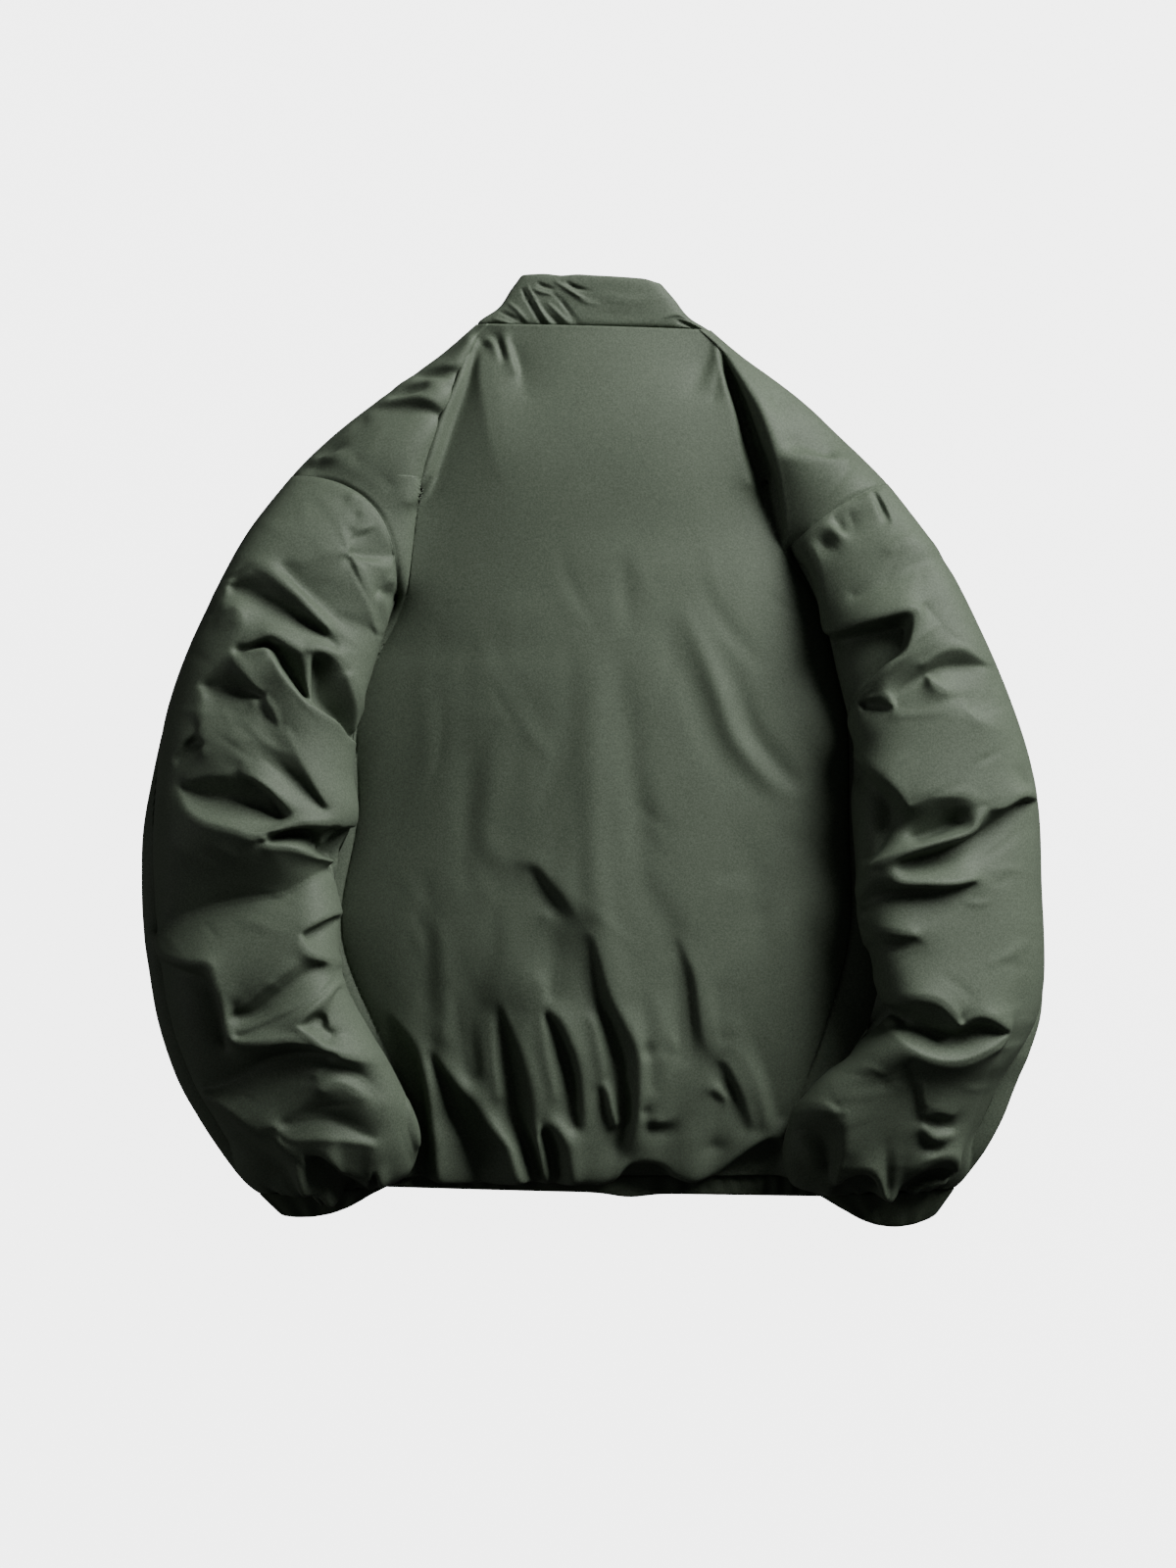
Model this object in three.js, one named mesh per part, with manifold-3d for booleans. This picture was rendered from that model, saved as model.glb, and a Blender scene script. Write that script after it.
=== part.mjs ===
// A boxy down jacket lying face down: back uppermost, sleeves folded in over its sides.
// Millimetres. +Z up from the surface it lies on, +Y towards the collar, +X to the wearer's right.
// Every padded panel is one closed wall: shell cloth outside, lining inside, down between.
import * as THREE from "three";
import { mergeVertices } from "three/addons/utils/BufferGeometryUtils.js";
import Module from "manifold-3d";

const wasm = await Module();
wasm.setup();

// Driving dimensions
const SEAM = 0.3; // gap between two pieces that are sewn together
const HOLLOW = 1; // half of the space left between two linings that lie on each other
const EDGE = 2; // thickness of a panel where its shell and lining meet at a seam
const SHELF = 34; // height at which a sleeve lies on the body's side
const GROUND = 1.2; // height of a sleeve's underside beyond the body
const SAG_RUN = 34; // how far out from the body's edge the sleeve takes to come down
const NECK_DROP = 50; // how much lower the front neckline lies than the back one
const NECK_HALF = 90;
const COLLAR_HEIGHT = 43;
const BAND_TOP = 11.5; // the hem casing's height at its sides
const BAND_BOTTOM = -347; // and its lower edge
const ZIP_EDGE = 10; // distance from the centre front to each front's edge

const SHELL = { color: 0x4a5244, roughness: 0.62, metalness: 0 };
const RIB = { color: 0x2b2f28, roughness: 0.8, metalness: 0 };
const TAPE = { color: 0x262a24, roughness: 0.85, metalness: 0 };
const METAL = { color: 0x3a3c38, roughness: 0.35, metalness: 0.9 };

// One row per section across the body, from hem to neck. x and y are the edges in plan, foldX
// is where the valley beside each sleeve or shoulder lies. Heights: mid is the parting surface
// between front and back, arch the extra loft of the back in its side and middle lobes.
const bodyColumns = ["leftX", "leftY", "leftFoldX", "rightFoldX", "rightX", "rightY",
  "midEdge", "midFold", "midCentre", "loftEdge", "loftFold", "sideArch", "centreArch"];
const lowerBody = table(bodyColumns, [
  [-236, -331, -150, 158, 239, -334, 6.5, 9, 16, 5, 5, 0, 2],
  [-248, -318, -137, 150, 251, -321, 9, 11, 16, EDGE, 9, 3, 11],
  [-268, -285, -140, 157, 270, -287, 13, 15, 17, EDGE, 12, 5, 20],
  [-284, -220, -169, 182, 285, -220, 15, 17, 17, EDGE, 12, 6, 25],
  [-290, -140, -198, 203, 290, -140, 15, 17, 18, EDGE, 12, 6, 26],
  [-291, -50, -185, 202, 291, -50, 15, 17, 18, EDGE, 12, 6, 26],
  [-288, 20, -186, 201, 288, 25, 15, 17, 18, EDGE, 12, 6, 25],
  [-254, 62, -176, 190, 256, 80, 16, 18, 18, EDGE, 12, 4, 25],
  [-200, 88, -162, 176, 200, 124, 17, 21, 18, EDGE, 11, 1, 24],
  [-155.2, 118, -146, 149, 157.4, 157.5, 17, 25, 18, EDGE, 11, 0.5, 24],
]);
// From the inner end of the armhole seams up to the neck
const shoulders = table(bodyColumns, [
  [-153.8, 124.8, -146, 148, 155.4, 162.8, 32, 26, 18, EDGE, 11, 1, 24],
  [-241.4, 215.5, -136, 133, 233.7, 213.9, 20, 22, 18, EDGE, 14, 21, 20],
  [-205, 252.7, -124, 121, 194.9, 252.7, 18, 20, 18, EDGE, 14, 18, 16],
  [-165.5, 283.7, -112, 113, 161.6, 283.7, 16, 18, 17, EDGE, 13, 13, 12],
  [-123, 314.7, -100, 104, 120, 314.7, 14, 15, 16, EDGE, 11, 5, 7],
  [-90, 335, -82, 84, 92, 331, 13, 13, 16, 8, 9, 1, 2],
]);

// One row per section down a sleeve, from the armhole seam to the cuff seam. outer and inner are
// its two fold lines in plan, bow how far the section's middle lies nearer the shoulder.
const sleeveColumns = ["outerX", "outerY", "innerX", "innerY", "bow", "midOuter", "midInner", "arch", "rise"];
const sleeves = {
  left: table(sleeveColumns, [
    [-241.4, 215.5, -153.8, 124.8, 31, 20, 32, 8, 22],
    [-270.1, 175.2, -163.9, 90, 20, 21, 47, 10, 30],
    [-294.1, 128.7, -174.8, 66.7, 12, 22, 51, 14, 36],
    [-316.6, 82.2, -184.1, 29.5, 6, 23, 52, 16, 40],
    [-336.7, 27.9, -190.3, 0.8, 3, 24, 52, 18, 42],
    [-349.2, -26.4, -186.4, -38, 0, 24, 52, 18, 42],
    [-356.1, -80.6, -200.3, -76.7, 0, 24, 52, 18, 41],
    [-355.3, -134.9, -198, -123.2, 0, 24, 52, 18, 41],
    [-349.1, -181.4, -196.5, -169.7, 0, 24, 52, 18, 40],
    [-337.5, -235.6, -169.3, -220.1, 0, 23, 50, 17, 38],
    [-312.7, -286, -146.1, -266.6, 0, 20, 47, 14, 35],
    [-285.6, -327.1, -136, -309.2, -4, 17, 36, 9, 26],
    [-264.7, -347.2, -156.2, -338.7, -2, 17, 20, 0.5, 7],
  ]),
  right: table(sleeveColumns, [
    [233.7, 213.9, 155.4, 162.8, 5, 20, 32, 8, 22],
    [260.8, 175.2, 174, 130.2, 5, 21, 47, 10, 30],
    [280.9, 144.2, 187.9, 97.7, 5, 22, 51, 14, 36],
    [303.4, 97.7, 191.8, 58.9, 3, 23, 52, 16, 40],
    [324.3, 51.2, 201.9, 18.6, 3, 24, 52, 18, 42],
    [340.6, 4.7, 205, -18.6, 0, 24, 52, 18, 42],
    [352.2, -49.6, 202.7, -57.4, 0, 24, 52, 18, 41],
    [353.8, -103.9, 208.1, -107.7, 0, 24, 52, 18, 41],
    [356.1, -165.9, 197.2, -164.3, 0, 24, 52, 18, 40],
    [352.2, -216.2, 181.7, -216.2, 0, 23, 50, 17, 38],
    [336, -258.9, 163.9, -270.5, 0, 20, 47, 14, 35],
    [317.4, -305.4, 150, -313.1, -4, 17, 36, 9, 26],
    [287.9, -342.6, 175.5, -346.4, -2, 17, 20, 0.5, 7],
  ]),
};
// The open end of each cuff, in the same columns' sense
const cuffEnds = {
  left: { outerX: -246, outerY: -366, innerX: -177, innerY: -349, bow: -7, midOuter: 9, midInner: 18.5 },
  right: { outerX: 272, outerY: -366, innerX: 203, innerY: -363, bow: -10, midOuter: 9, midInner: 13 },
};
const collarHalfWidths = [89, 77, 65.5, 57.5]; // from the neck seam to the top edge

// The largest folds, each a straight crease from (x0, y0) to (x1, y1) that fades out at its ends.
// reach is how far it spreads to either side, lift its height, negative for a valley.
const foldColumns = ["x0", "y0", "x1", "y1", "reach", "lift"];
const folds = {
  left: table(foldColumns, [
    [-286, 133, -257, 143, 13, -9],
    [-257, 143, -204, 88, 14, -11],
    [-241, 147, -169, 93, 13, 8],
    [-252, 84, -194, 34, 17, -13],
    [-324, -28, -263, -57, 15, 8],
    [-263, -57, -199, -49, 14, 8],
    [-262, -69, -187, -70, 13, -11],
    [-346, -142, -242, -109, 15, -10],
    [-242, -109, -200, -101, 14, -10],
    [-282, -206, -219, -170, 14, -12],
    [-283, -203, -203, -236, 15, 8],
    [-305, -267, -229, -318, 14, -9],
    [-246, -292, -172, -300, 13, -8],
  ]),
  right: table(foldColumns, [
    [255, 109, 212, 43, 14, 9],
    [196, 92, 224, 56, 14, -11],
    [310, 68, 281, 82, 14, -7],
    [281, 82, 214, 43, 14, -7],
    [207, 3, 247, -39, 17, -9],
    [247, -39, 221, -70, 15, -8],
    [337, -33, 289, -61, 13, 9],
    [289, -61, 207, -98, 13, 9],
    [336, -54, 240, -106, 12, -11],
    [238, -195, 286, -225, 14, -10],
    [286, -225, 323, -216, 14, -9],
    [241, -221, 323, -233, 13, 7],
    [252, -240, 252, -285, 13, -8],
  ]),
  back: table(foldColumns, [
    [25, 160, 94, 40, 34, 4],
    [94, 40, 131, -26, 34, 4],
    [-159, -206, -135, -335, 15, -7],
    [-124, -236, -48, -335, 15, -8],
    [-70, -198, -41, -320, 14, -7],
    [-38, -201, -10, -300, 14, -7],
    [7, -181, 28, -322, 15, -8],
    [99, -240, 138, -312, 15, -8],
  ]),
};

// Mesh fineness
const ACROSS = 10; // steps across a sleeve, and along the visible armhole seam
const STATIONS = 26; // steps along a sleeve
const FRONT_EVERY = 2; // the sleeve's hidden front panel takes every second step across
const SIDE_STEPS = 4;
const CENTRE_STEPS = 4;
const BACK_FINENESS = 2; // times as many steps across the back's middle

// ---- Numbers and tables ----

function table(columns, rows) {
  return rows.map((row) => Object.fromEntries(columns.map((name, i) => [name, row[i]])));
}

const mix = THREE.MathUtils.lerp;
const clamp01 = (t) => THREE.MathUtils.clamp(t, 0, 1);
const smooth = (t) => THREE.MathUtils.smoothstep(t, 0, 1);
const steps = (n) => Array.from({ length: n + 1 }, (_, i) => i / n);
// Parameters from 0 to 1 that crowd towards both ends, where a fold turns over
const crowded = (n) => steps(n).map((t) => (1 - Math.cos(Math.PI * t)) / 2);
// The crown of a padded section: 0 at both edges, upright there, flat in the middle
const dome = (w) => Math.sqrt(Math.max(0, 1 - Math.abs(2 * w - 1) ** 2.4));
// The same for one edge only, as a quarter circle
const roundUp = (t) => Math.sqrt(Math.max(0, 1 - (1 - clamp01(t)) ** 2));

// Row at a fractional index of a table, each column carried smoothly through its rows
function rowAt(rows, t) {
  const i = Math.min(Math.floor(t), rows.length - 2);
  const f = t - i;
  const pick = (k) => rows[THREE.MathUtils.clamp(k, 0, rows.length - 1)];
  const [a, b, c, d] = [pick(i - 1), pick(i), pick(i + 1), pick(i + 2)];
  const through = (p, q, r, s) =>
    q + 0.5 * f * (r - p + f * (2 * p - 5 * q + 4 * r - s + f * (3 * (q - r) + s - p)));
  return Object.fromEntries(Object.keys(b).map((k) => [k, through(a[k], b[k], c[k], d[k])]));
}

// Height the folds add at a point: each fades to both sides, and over its end quarters
function foldLift(list, x, y) {
  return list.reduce((sum, { x0, y0, x1, y1, reach, lift }) => {
    const length = Math.hypot(x1 - x0, y1 - y0);
    const along = ((x - x0) * (x1 - x0) + (y - y0) * (y1 - y0)) / length;
    const aside = ((x - x0) * (y1 - y0) - (y - y0) * (x1 - x0)) / length;
    const fade = smooth((along + reach) / (2 * reach)) * smooth((length - along + reach) / (2 * reach));
    return sum + lift * fade * Math.exp(-((aside / reach) ** 2));
  }, 0);
}

// ---- Closed walls from two grids of points ----

function meshOf(name, geometry, look) {
  const mesh = new THREE.Mesh(geometry, new THREE.MeshStandardMaterial(look));
  mesh.name = name;
  return mesh;
}

function signedVolume(points, faces) {
  const at = (i) => new THREE.Vector3(...points[i]);
  return faces.reduce((sum, [a, b, c]) => sum + at(a).dot(at(b).cross(at(c))), 0);
}

// outer and inner are grids of [x, y, z] of the same size; ringed joins the last column to the first
function wall(outer, inner, ringed = false) {
  const rows = outer.length;
  const columns = outer[0].length;
  const points = [...outer.flat(), ...inner.flat()];
  const faces = [];
  const quad = (a, b, c, d) => faces.push([a, b, c], [a, c, d]);
  const out = (i, j) => i * columns + (j % columns);
  const inn = (i, j) => rows * columns + out(i, j);
  const spans = ringed ? columns : columns - 1;
  for (let i = 0; i < rows - 1; i++)
    for (let j = 0; j < spans; j++) {
      quad(out(i, j), out(i, j + 1), out(i + 1, j + 1), out(i + 1, j));
      quad(inn(i, j), inn(i + 1, j), inn(i + 1, j + 1), inn(i, j + 1));
    }
  for (let j = 0; j < spans; j++) {
    quad(out(0, j), inn(0, j), inn(0, j + 1), out(0, j + 1));
    quad(out(rows - 1, j), out(rows - 1, j + 1), inn(rows - 1, j + 1), inn(rows - 1, j));
  }
  if (!ringed)
    for (let i = 0; i < rows - 1; i++) {
      quad(out(i, 0), out(i + 1, 0), inn(i + 1, 0), inn(i, 0));
      quad(out(i, columns - 1), inn(i, columns - 1), inn(i + 1, columns - 1), out(i + 1, columns - 1));
    }
  if (signedVolume(points, faces) < 0) faces.forEach((face) => face.reverse());
  const geometry = new THREE.BufferGeometry();
  geometry.setAttribute("position", new THREE.Float32BufferAttribute(points.flat(), 3));
  geometry.setIndex(faces.flat());
  return geometry;
}

// ---- Sleeves ----

// Plan position on a sleeve's section at w, from 0 at its outer fold to 1 at its inner fold
function sectionPoint(row, w) {
  const x = mix(row.outerX, row.innerX, w);
  const y = mix(row.outerY, row.innerY, w);
  const along = new THREE.Vector2(row.innerX - row.outerX, row.innerY - row.outerY).normalize();
  const side = Math.sign(row.outerX);
  const bow = 4 * w * (1 - w) * row.bow;
  return [x + side * along.y * bow, y - side * along.x * bow];
}

const sleeveMid = (row, w) => mix(row.midOuter, row.midInner, w) + row.arch * 4 * w * (1 - w);
const sleeveTop = (row, w) => sleeveMid(row, w) + row.rise * dome(w) + EDGE;

// The body's hidden edge, as a distance from the middle, at a given y
function bodyEdge(side, y) {
  const name = side < 0 ? "left" : "right";
  const line = lowerBody.map((row) => [row[name + "Y"], Math.abs(row[name + "X"])]);
  const i = THREE.MathUtils.clamp(line.findIndex(([at]) => at > y), 1, line.length - 1);
  const from = y > line.at(-1)[0] ? line.length - 1 : i;
  const [[y0, x0], [y1, x1]] = [line[from - 1], line[from]];
  return x0 + ((x1 - x0) * (y - y0)) / (y1 - y0);
}

// What a sleeve's underside lies on: the body's side, then down to the ground beyond its edge
function support(x, y) {
  const beyond = Math.abs(x) - bodyEdge(Math.sign(x), y);
  const onBody = smooth(1 - (beyond - 24) / SAG_RUN);
  const aboveHem = smooth((y - BAND_BOTTOM - 6) / 13);
  const bandTop = BAND_TOP + 1.2 + 3.5 * smooth((225 - Math.abs(x)) / 60);
  const overBand = Math.max(GROUND, bandTop * Math.min(1, onBody * 1.6));
  return Math.max(overBand, GROUND + (SHELF - GROUND) * onBody * aboveHem);
}

function sleeveUnder(row, w, x, y) {
  const lowest = sleeveMid(row, w) - EDGE - 60 * dome(w);
  const thinnest = sleeveMid(row, w) - EDGE - 1.5 * dome(w);
  return Math.min(Math.max(lowest, support(x, y)), thinnest);
}

// Both padded panels of a sleeve: the back one above its parting surface, the front one below
function sleevePanels(side) {
  const rows = sleeves[side];
  const last = rows.length - 1;
  // One panel's two grids; every is how many of the steps across it takes at a time
  const grids = (every, outerZ, lift) => {
    const grid = (z) => steps(STATIONS).map((u, i, all) => {
      const row = rowAt(rows, last * mix(u, smooth(u), 0.35));
      return crowded(ACROSS / every).map((w, j, line) => {
        const [x, y] = sectionPoint(row, w);
        const rim = i === 0 || i === all.length - 1 || j === 0 || j === line.length - 1;
        return [x, y, z(row, w, x, y, rim ? SEAM / 2 : HOLLOW)];
      });
    });
    return [grid(outerZ), grid((row, w, x, y, gap) => sleeveMid(row, w) + lift * gap)];
  };
  const top = (row, w, x, y) =>
    Math.max(sleeveTop(row, w) + foldLift(folds[side], x, y) * dome(w), sleeveMid(row, w) + EDGE);
  return [
    meshOf(`sleeve_back_${side}`, wall(...grids(1, top, 1)), SHELL),
    meshOf(`sleeve_front_${side}`, wall(...grids(FRONT_EVERY, sleeveUnder, -1)), SHELL),
  ];
}

// ---- Body ----

// The body's edge along the armhole seam, a seam's gap inside the sleeve's first section
function armhole(side, w) {
  const row = sleeves[side][0];
  const [x, y] = sectionPoint(row, w);
  const inward = new THREE.Vector2(-(row.innerY - row.outerY), row.innerX - row.outerX).normalize();
  const sign = Math.sign(row.outerX) * -1;
  return {
    x: x + sign * inward.x * SEAM,
    y: y + sign * inward.y * SEAM,
    mid: sleeveMid(row, w),
    loft: row.rise * dome(w) + EDGE,
    under: sleeveUnder(row, w, ...sectionPoint(row, w)),
  };
}

// Every section of the body, from hem to neck, with the armhole seam between its two tables
function bodySections() {
  const sections = [];
  const add = (row, extra = {}) => sections.push({ ...row, ...extra });
  [0, 0.5, 1, 1.6, 2.3, 3, 3.8, 4.6, 5.4, 6.2, 7, 7.6, 8.2, 9].forEach((t) => add(rowAt(lowerBody, t)));
  crowded(ACROSS).forEach((along) => {
    const w = 1 - along;
    const [left, right] = [armhole("left", w), armhole("right", w)];
    const [low, high] = shoulders;
    const row = Object.fromEntries(bodyColumns.map((k) => [k, mix(low[k], high[k], along)]));
    add(row, {
      leftX: left.x, leftY: left.y, rightX: right.x, rightY: right.y,
      leftFoldX: Math.max(row.leftFoldX, left.x + 7), rightFoldX: Math.min(row.rightFoldX, right.x - 7),
      midEdge: left.mid, loftEdge: left.loft, leftUnder: left.under, rightUnder: right.under,
    });
  });
  [1.5, 2, 2.6, 3.2, 3.8, 4.4, 5].forEach((t) => add(rowAt(shoulders, t)));
  return sections.map((row, i) => ({ ...row, share: i / (sections.length - 1) }));
}

// Parting height and back loft at x on a section
function bodyHeights(row, x) {
  const { leftX, leftFoldX, rightFoldX, rightX } = row;
  if (x <= leftFoldX || x >= rightFoldX) {
    const q = x <= leftFoldX ? (x - leftX) / (leftFoldX - leftX) : (rightX - x) / (rightX - rightFoldX);
    return {
      mid: mix(row.midEdge, row.midFold, smooth(q)),
      loft: mix(row.loftEdge, row.loftFold, smooth(q)) + row.sideArch * dome(clamp01(q)),
    };
  }
  const q = (x - leftFoldX) / (rightFoldX - leftFoldX);
  const middle = Math.sin(Math.PI * q);
  return {
    mid: mix(row.midFold, row.midCentre, middle),
    loft: row.loftFold + row.centreArch * middle ** 0.7,
  };
}

const rowY = (row, x) => mix(row.leftY, row.rightY, (x - row.leftX) / (row.rightX - row.leftX));

// Where one half of a section has its points, from its edge to the zip's side. The front and the
// back share them, so their linings lie on each other.
function halfColumns(row, side, fineness = 1) {
  const sign = side === "left" ? -1 : 1;
  const [edge, fold, lip] = [row[side + "X"], row[side + "FoldX"], sign * (ZIP_EDGE + 8)];
  return [
    ...crowded(SIDE_STEPS).map((q) => mix(edge, fold, q)),
    ...steps(CENTRE_STEPS * fineness).slice(1).map((q) => mix(fold, lip, q)),
    sign * ZIP_EDGE,
  ];
}

function backPanel(sections) {
  const outer = [];
  const inner = [];
  sections.forEach((row, i) => {
    const xs = [
      ...halfColumns(row, "left", BACK_FINENESS),
      ...halfColumns(row, "right", BACK_FINENESS).reverse(),
    ];
    const ends = i === 0 || i === sections.length - 1;
    const heights = xs.map((x) => bodyHeights(row, x));
    outer.push(xs.map((x, j) => {
      const y = rowY(row, x);
      const { mid, loft } = heights[j];
      return [x, y, mid + Math.max(EDGE, loft + foldLift(folds.back, x, y))];
    }));
    inner.push(xs.map((x, j) => {
      const gap = ends || j === 0 || j === xs.length - 1 ? SEAM / 2 : HOLLOW;
      return [x, rowY(row, x), heights[j].mid + gap];
    }));
  });
  return meshOf("back", wall(outer, inner), SHELL);
}

// The front neckline: how far below the back neck it lies at x
const neckDrop = (x) => NECK_DROP * Math.max(0, 1 - (x / NECK_HALF) ** 2);

function frontPanel(sections, side) {
  const tipShare = sections.indexOf(sections.at(-8)) / (sections.length - 1);
  const outer = [];
  const inner = [];
  sections.forEach((row, i) => {
    const edgeX = row[side + "X"];
    const drop = smooth((row.share - tipShare) / (1 - tipShare));
    const ends = i === 0 || i === sections.length - 1;
    const outerLine = [];
    const innerLine = [];
    halfColumns(row, side).forEach((x, j) => {
      const y = rowY(row, x) - drop * neckDrop(x);
      const { mid } = bodyHeights(row, x);
      const gap = ends || j === 0 ? SEAM / 2 : HOLLOW;
      const thin = i === 0 || i === sections.length - 1 ? 2.2 : row.midEdge - EDGE;
      const edgeUnder = row[side + "Under"] ?? thin;
      const fromEdge = Math.abs(x - edgeX);
      const fromZip = Math.abs(x) - ZIP_EDGE;
      const sideRise = edgeUnder * (1 - roundUp(fromEdge / 30));
      const zipRise = 8.5 * (1 - roundUp(fromZip / 16));
      const endRise = ends ? 2.2 : 0;
      outerLine.push([x, y, Math.max(sideRise, zipRise, endRise)]);
      innerLine.push([x, y, mid - gap]);
    });
    outer.push(outerLine);
    inner.push(innerLine);
  });
  return meshOf(`front_${side}`, wall(outer, inner), SHELL);
}

// ---- Bands: flattened rings of padded or ribbed strip ----

// Signed power, which squares a circle off towards a flat oval
const squared = (t, power) => Math.sign(t) * Math.abs(t) ** power;

// One ring of a band. at(s, f) places it: s from -1 to 1 across, f from -1 (underside) to 1 (top)
function ringPoints(angles, place) {
  return angles.map((angle) => place(-squared(Math.sin(angle), 0.7), -squared(Math.cos(angle), 0.45)));
}

function openAngles(halfWidth, opening, count) {
  const first = Math.asin((opening / halfWidth) ** (1 / 0.7));
  return steps(count).map((t) => mix(first, 2 * Math.PI - first, t));
}

// The collar: a stand sewn to the neckline and open at the centre front
function collar() {
  const wallThickness = 10.5;
  const centreZ = 12.9;
  const halfHeight = 11.4;
  const outer = [];
  const inner = [];
  collarHalfWidths.forEach((half, i) => {
    const up = (i / (collarHalfWidths.length - 1)) * COLLAR_HEIGHT + SEAM;
    const angles = openAngles(half, 11.5, 26);
    const centreX = mix(1, 0, i / 3);
    const lean = mix(0, -2, i / 3);
    const place = (h, height) => (s, f) => {
      const x = centreX + s * h;
      const lowFront = neckDrop((s * h * NECK_HALF) / half) * 0.965 * smooth((-f - 0.7) / 0.25);
      return [x, 333 - 2 * s + up - lowFront, centreZ + f * height + (f > 0 ? lean : 0)];
    };
    outer.push(ringPoints(angles, place(half, halfHeight)));
    inner.push(ringPoints(angles, place(half - wallThickness, HOLLOW)));
  });
  return meshOf("collar", wall(outer, inner), SHELL);
}

// The hem's elastic casing, open at the centre front like the zip
function hemBand() {
  const half = 228;
  const thickness = 4;
  const low = BAND_TOP - thickness - HOLLOW;
  const angles = openAngles(half, ZIP_EDGE + 1, 34);
  const outer = [];
  const inner = [];
  [0, 0.5, 1].forEach((t) => {
    const place = (h, height) => (s, f) => {
      const x = 1.5 + s * h;
      const overZip = (16 - low) * Math.cos((s * Math.PI) / 2) ** 1.5;
      const besideZip = 6.5 * (1 - roundUp((Math.abs(x) - ZIP_EDGE) / 16));
      const y = mix(-332.7 - 1.5 * s, BAND_BOTTOM, t);
      return [x, y, low + f * height + (f > 0 ? overZip : besideZip)];
    };
    outer.push(ringPoints(angles, place(half, thickness + HOLLOW)));
    inner.push(ringPoints(angles, place(half - thickness, HOLLOW)));
  });
  return meshOf("hem_band", wall(outer, inner), RIB);
}

// A cuff's elastic casing, from the sleeve's last section to its open end
function cuff(side) {
  const seam = sleeves[side].at(-1);
  const end = cuffEnds[side];
  const angles = steps(22).slice(0, 22).map((t) => t * 2 * Math.PI);
  const outer = [];
  const inner = [];
  [0, 0.5, 1].forEach((t) => {
    const row = Object.fromEntries(Object.keys(end).map((k) => [k, mix(seam[k], end[k], t)]));
    const half = Math.hypot(row.innerX - row.outerX, row.innerY - row.outerY) / 2;
    const thickness = 4.6;
    const place = (h, height) => (s, f) => {
      const w = (1 - s * Math.sign(row.outerX) * (h / half) * -1) / 2;
      const [x, y] = sectionPoint(row, w);
      return [x, y - SEAM, mix(row.midOuter, row.midInner, w) + f * height];
    };
    outer.push(ringPoints(angles, place(half, HOLLOW + thickness)));
    inner.push(ringPoints(angles, place(half - thickness, HOLLOW)));
  });
  return meshOf(`cuff_${side}`, wall(outer, inner, true), RIB);
}

// ---- Zip ----

const zip = { bottomY: -345, topY: 322, chainHalf: 3, chainLow: 11.2, chainHigh: 14.2, tapeLow: 12.2, tapeHigh: 13.2 };
const slider = { y: 311, length: 10, half: 4.6, low: 8.6, high: 10.9, barZ: 5.2, barRadius: 0.8 };

function block(x0, x1, y0, y1, z0, z1) {
  const geometry = new THREE.BoxGeometry(x1 - x0, y1 - y0, z1 - z0);
  return geometry.translate((x0 + x1) / 2, (y0 + y1) / 2, (z0 + z1) / 2);
}

// A rod along X
function rod(radius, x0, x1, y, z, sides = 20) {
  return new THREE.CylinderGeometry(radius, radius, x1 - x0, sides)
    .rotateZ(Math.PI / 2).translate((x0 + x1) / 2, y, z);
}

function solidOf(geometry) {
  const bare = geometry.clone();
  bare.deleteAttribute("normal");
  bare.deleteAttribute("uv");
  const merged = mergeVertices(bare, 1e-4);
  return new wasm.Manifold(new wasm.Mesh({
    numProp: 3,
    vertProperties: merged.attributes.position.array,
    triVerts: new Uint32Array(merged.index.array),
  }));
}

function geometryOf(solid) {
  const { vertProperties, triVerts } = solid.getMesh();
  const geometry = new THREE.BufferGeometry();
  geometry.setAttribute("position", new THREE.BufferAttribute(vertProperties, 3));
  return geometry.setIndex(new THREE.BufferAttribute(triVerts, 1));
}

function zipTape(side) {
  const sign = side === "left" ? -1 : 1;
  const [near, far] = [sign * (zip.chainHalf + SEAM), sign * (ZIP_EDGE - SEAM)];
  const strip = block(Math.min(near, far), Math.max(near, far), zip.bottomY, zip.topY, zip.tapeLow, zip.tapeHigh);
  return meshOf(`zip_tape_${side}`, strip, TAPE);
}

// The closed teeth as one strip, from the bottom stop to the slider's top
function zipChain() {
  const { chainHalf: half, chainLow, chainHigh } = zip;
  return meshOf("zip_chain", block(-half, half, zip.bottomY + 6, zip.topY - 4, chainLow, chainHigh), METAL);
}

// The box that joins the two halves at the hem
function zipBox() {
  const { chainHalf: half, chainLow, chainHigh, bottomY } = zip;
  return meshOf("zip_box", block(-half, half, bottomY, bottomY + 6 - SEAM, chainLow - 0.6, chainHigh + 0.6), METAL);
}

// The slider under the chain: a plate, two flanges and the ears and bar that carry the pull
function zipSlider() {
  const { y, length, half, low, high, barZ, barRadius } = slider;
  const parts = [block(-half, half, y - length / 2, y + length / 2, low, high)];
  for (const sign of [-1, 1]) {
    const [near, far] = [sign * 3.5, sign * half];
    parts.push(block(Math.min(near, far), Math.max(near, far), y - length / 2, y + length / 2, high - 1, 11.9));
    const [earNear, earFar] = [sign * 3, sign * 4.2];
    parts.push(block(Math.min(earNear, earFar), Math.max(earNear, earFar), y - 1.5, y + 1.5, barZ - 1.4, low + 0.5));
  }
  parts.push(rod(barRadius, -3.5, 3.5, y, barZ));
  const joined = parts.map(solidOf).reduce((sum, next) => sum.add(next));
  return meshOf("zip_slider", geometryOf(joined), METAL);
}

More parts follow.
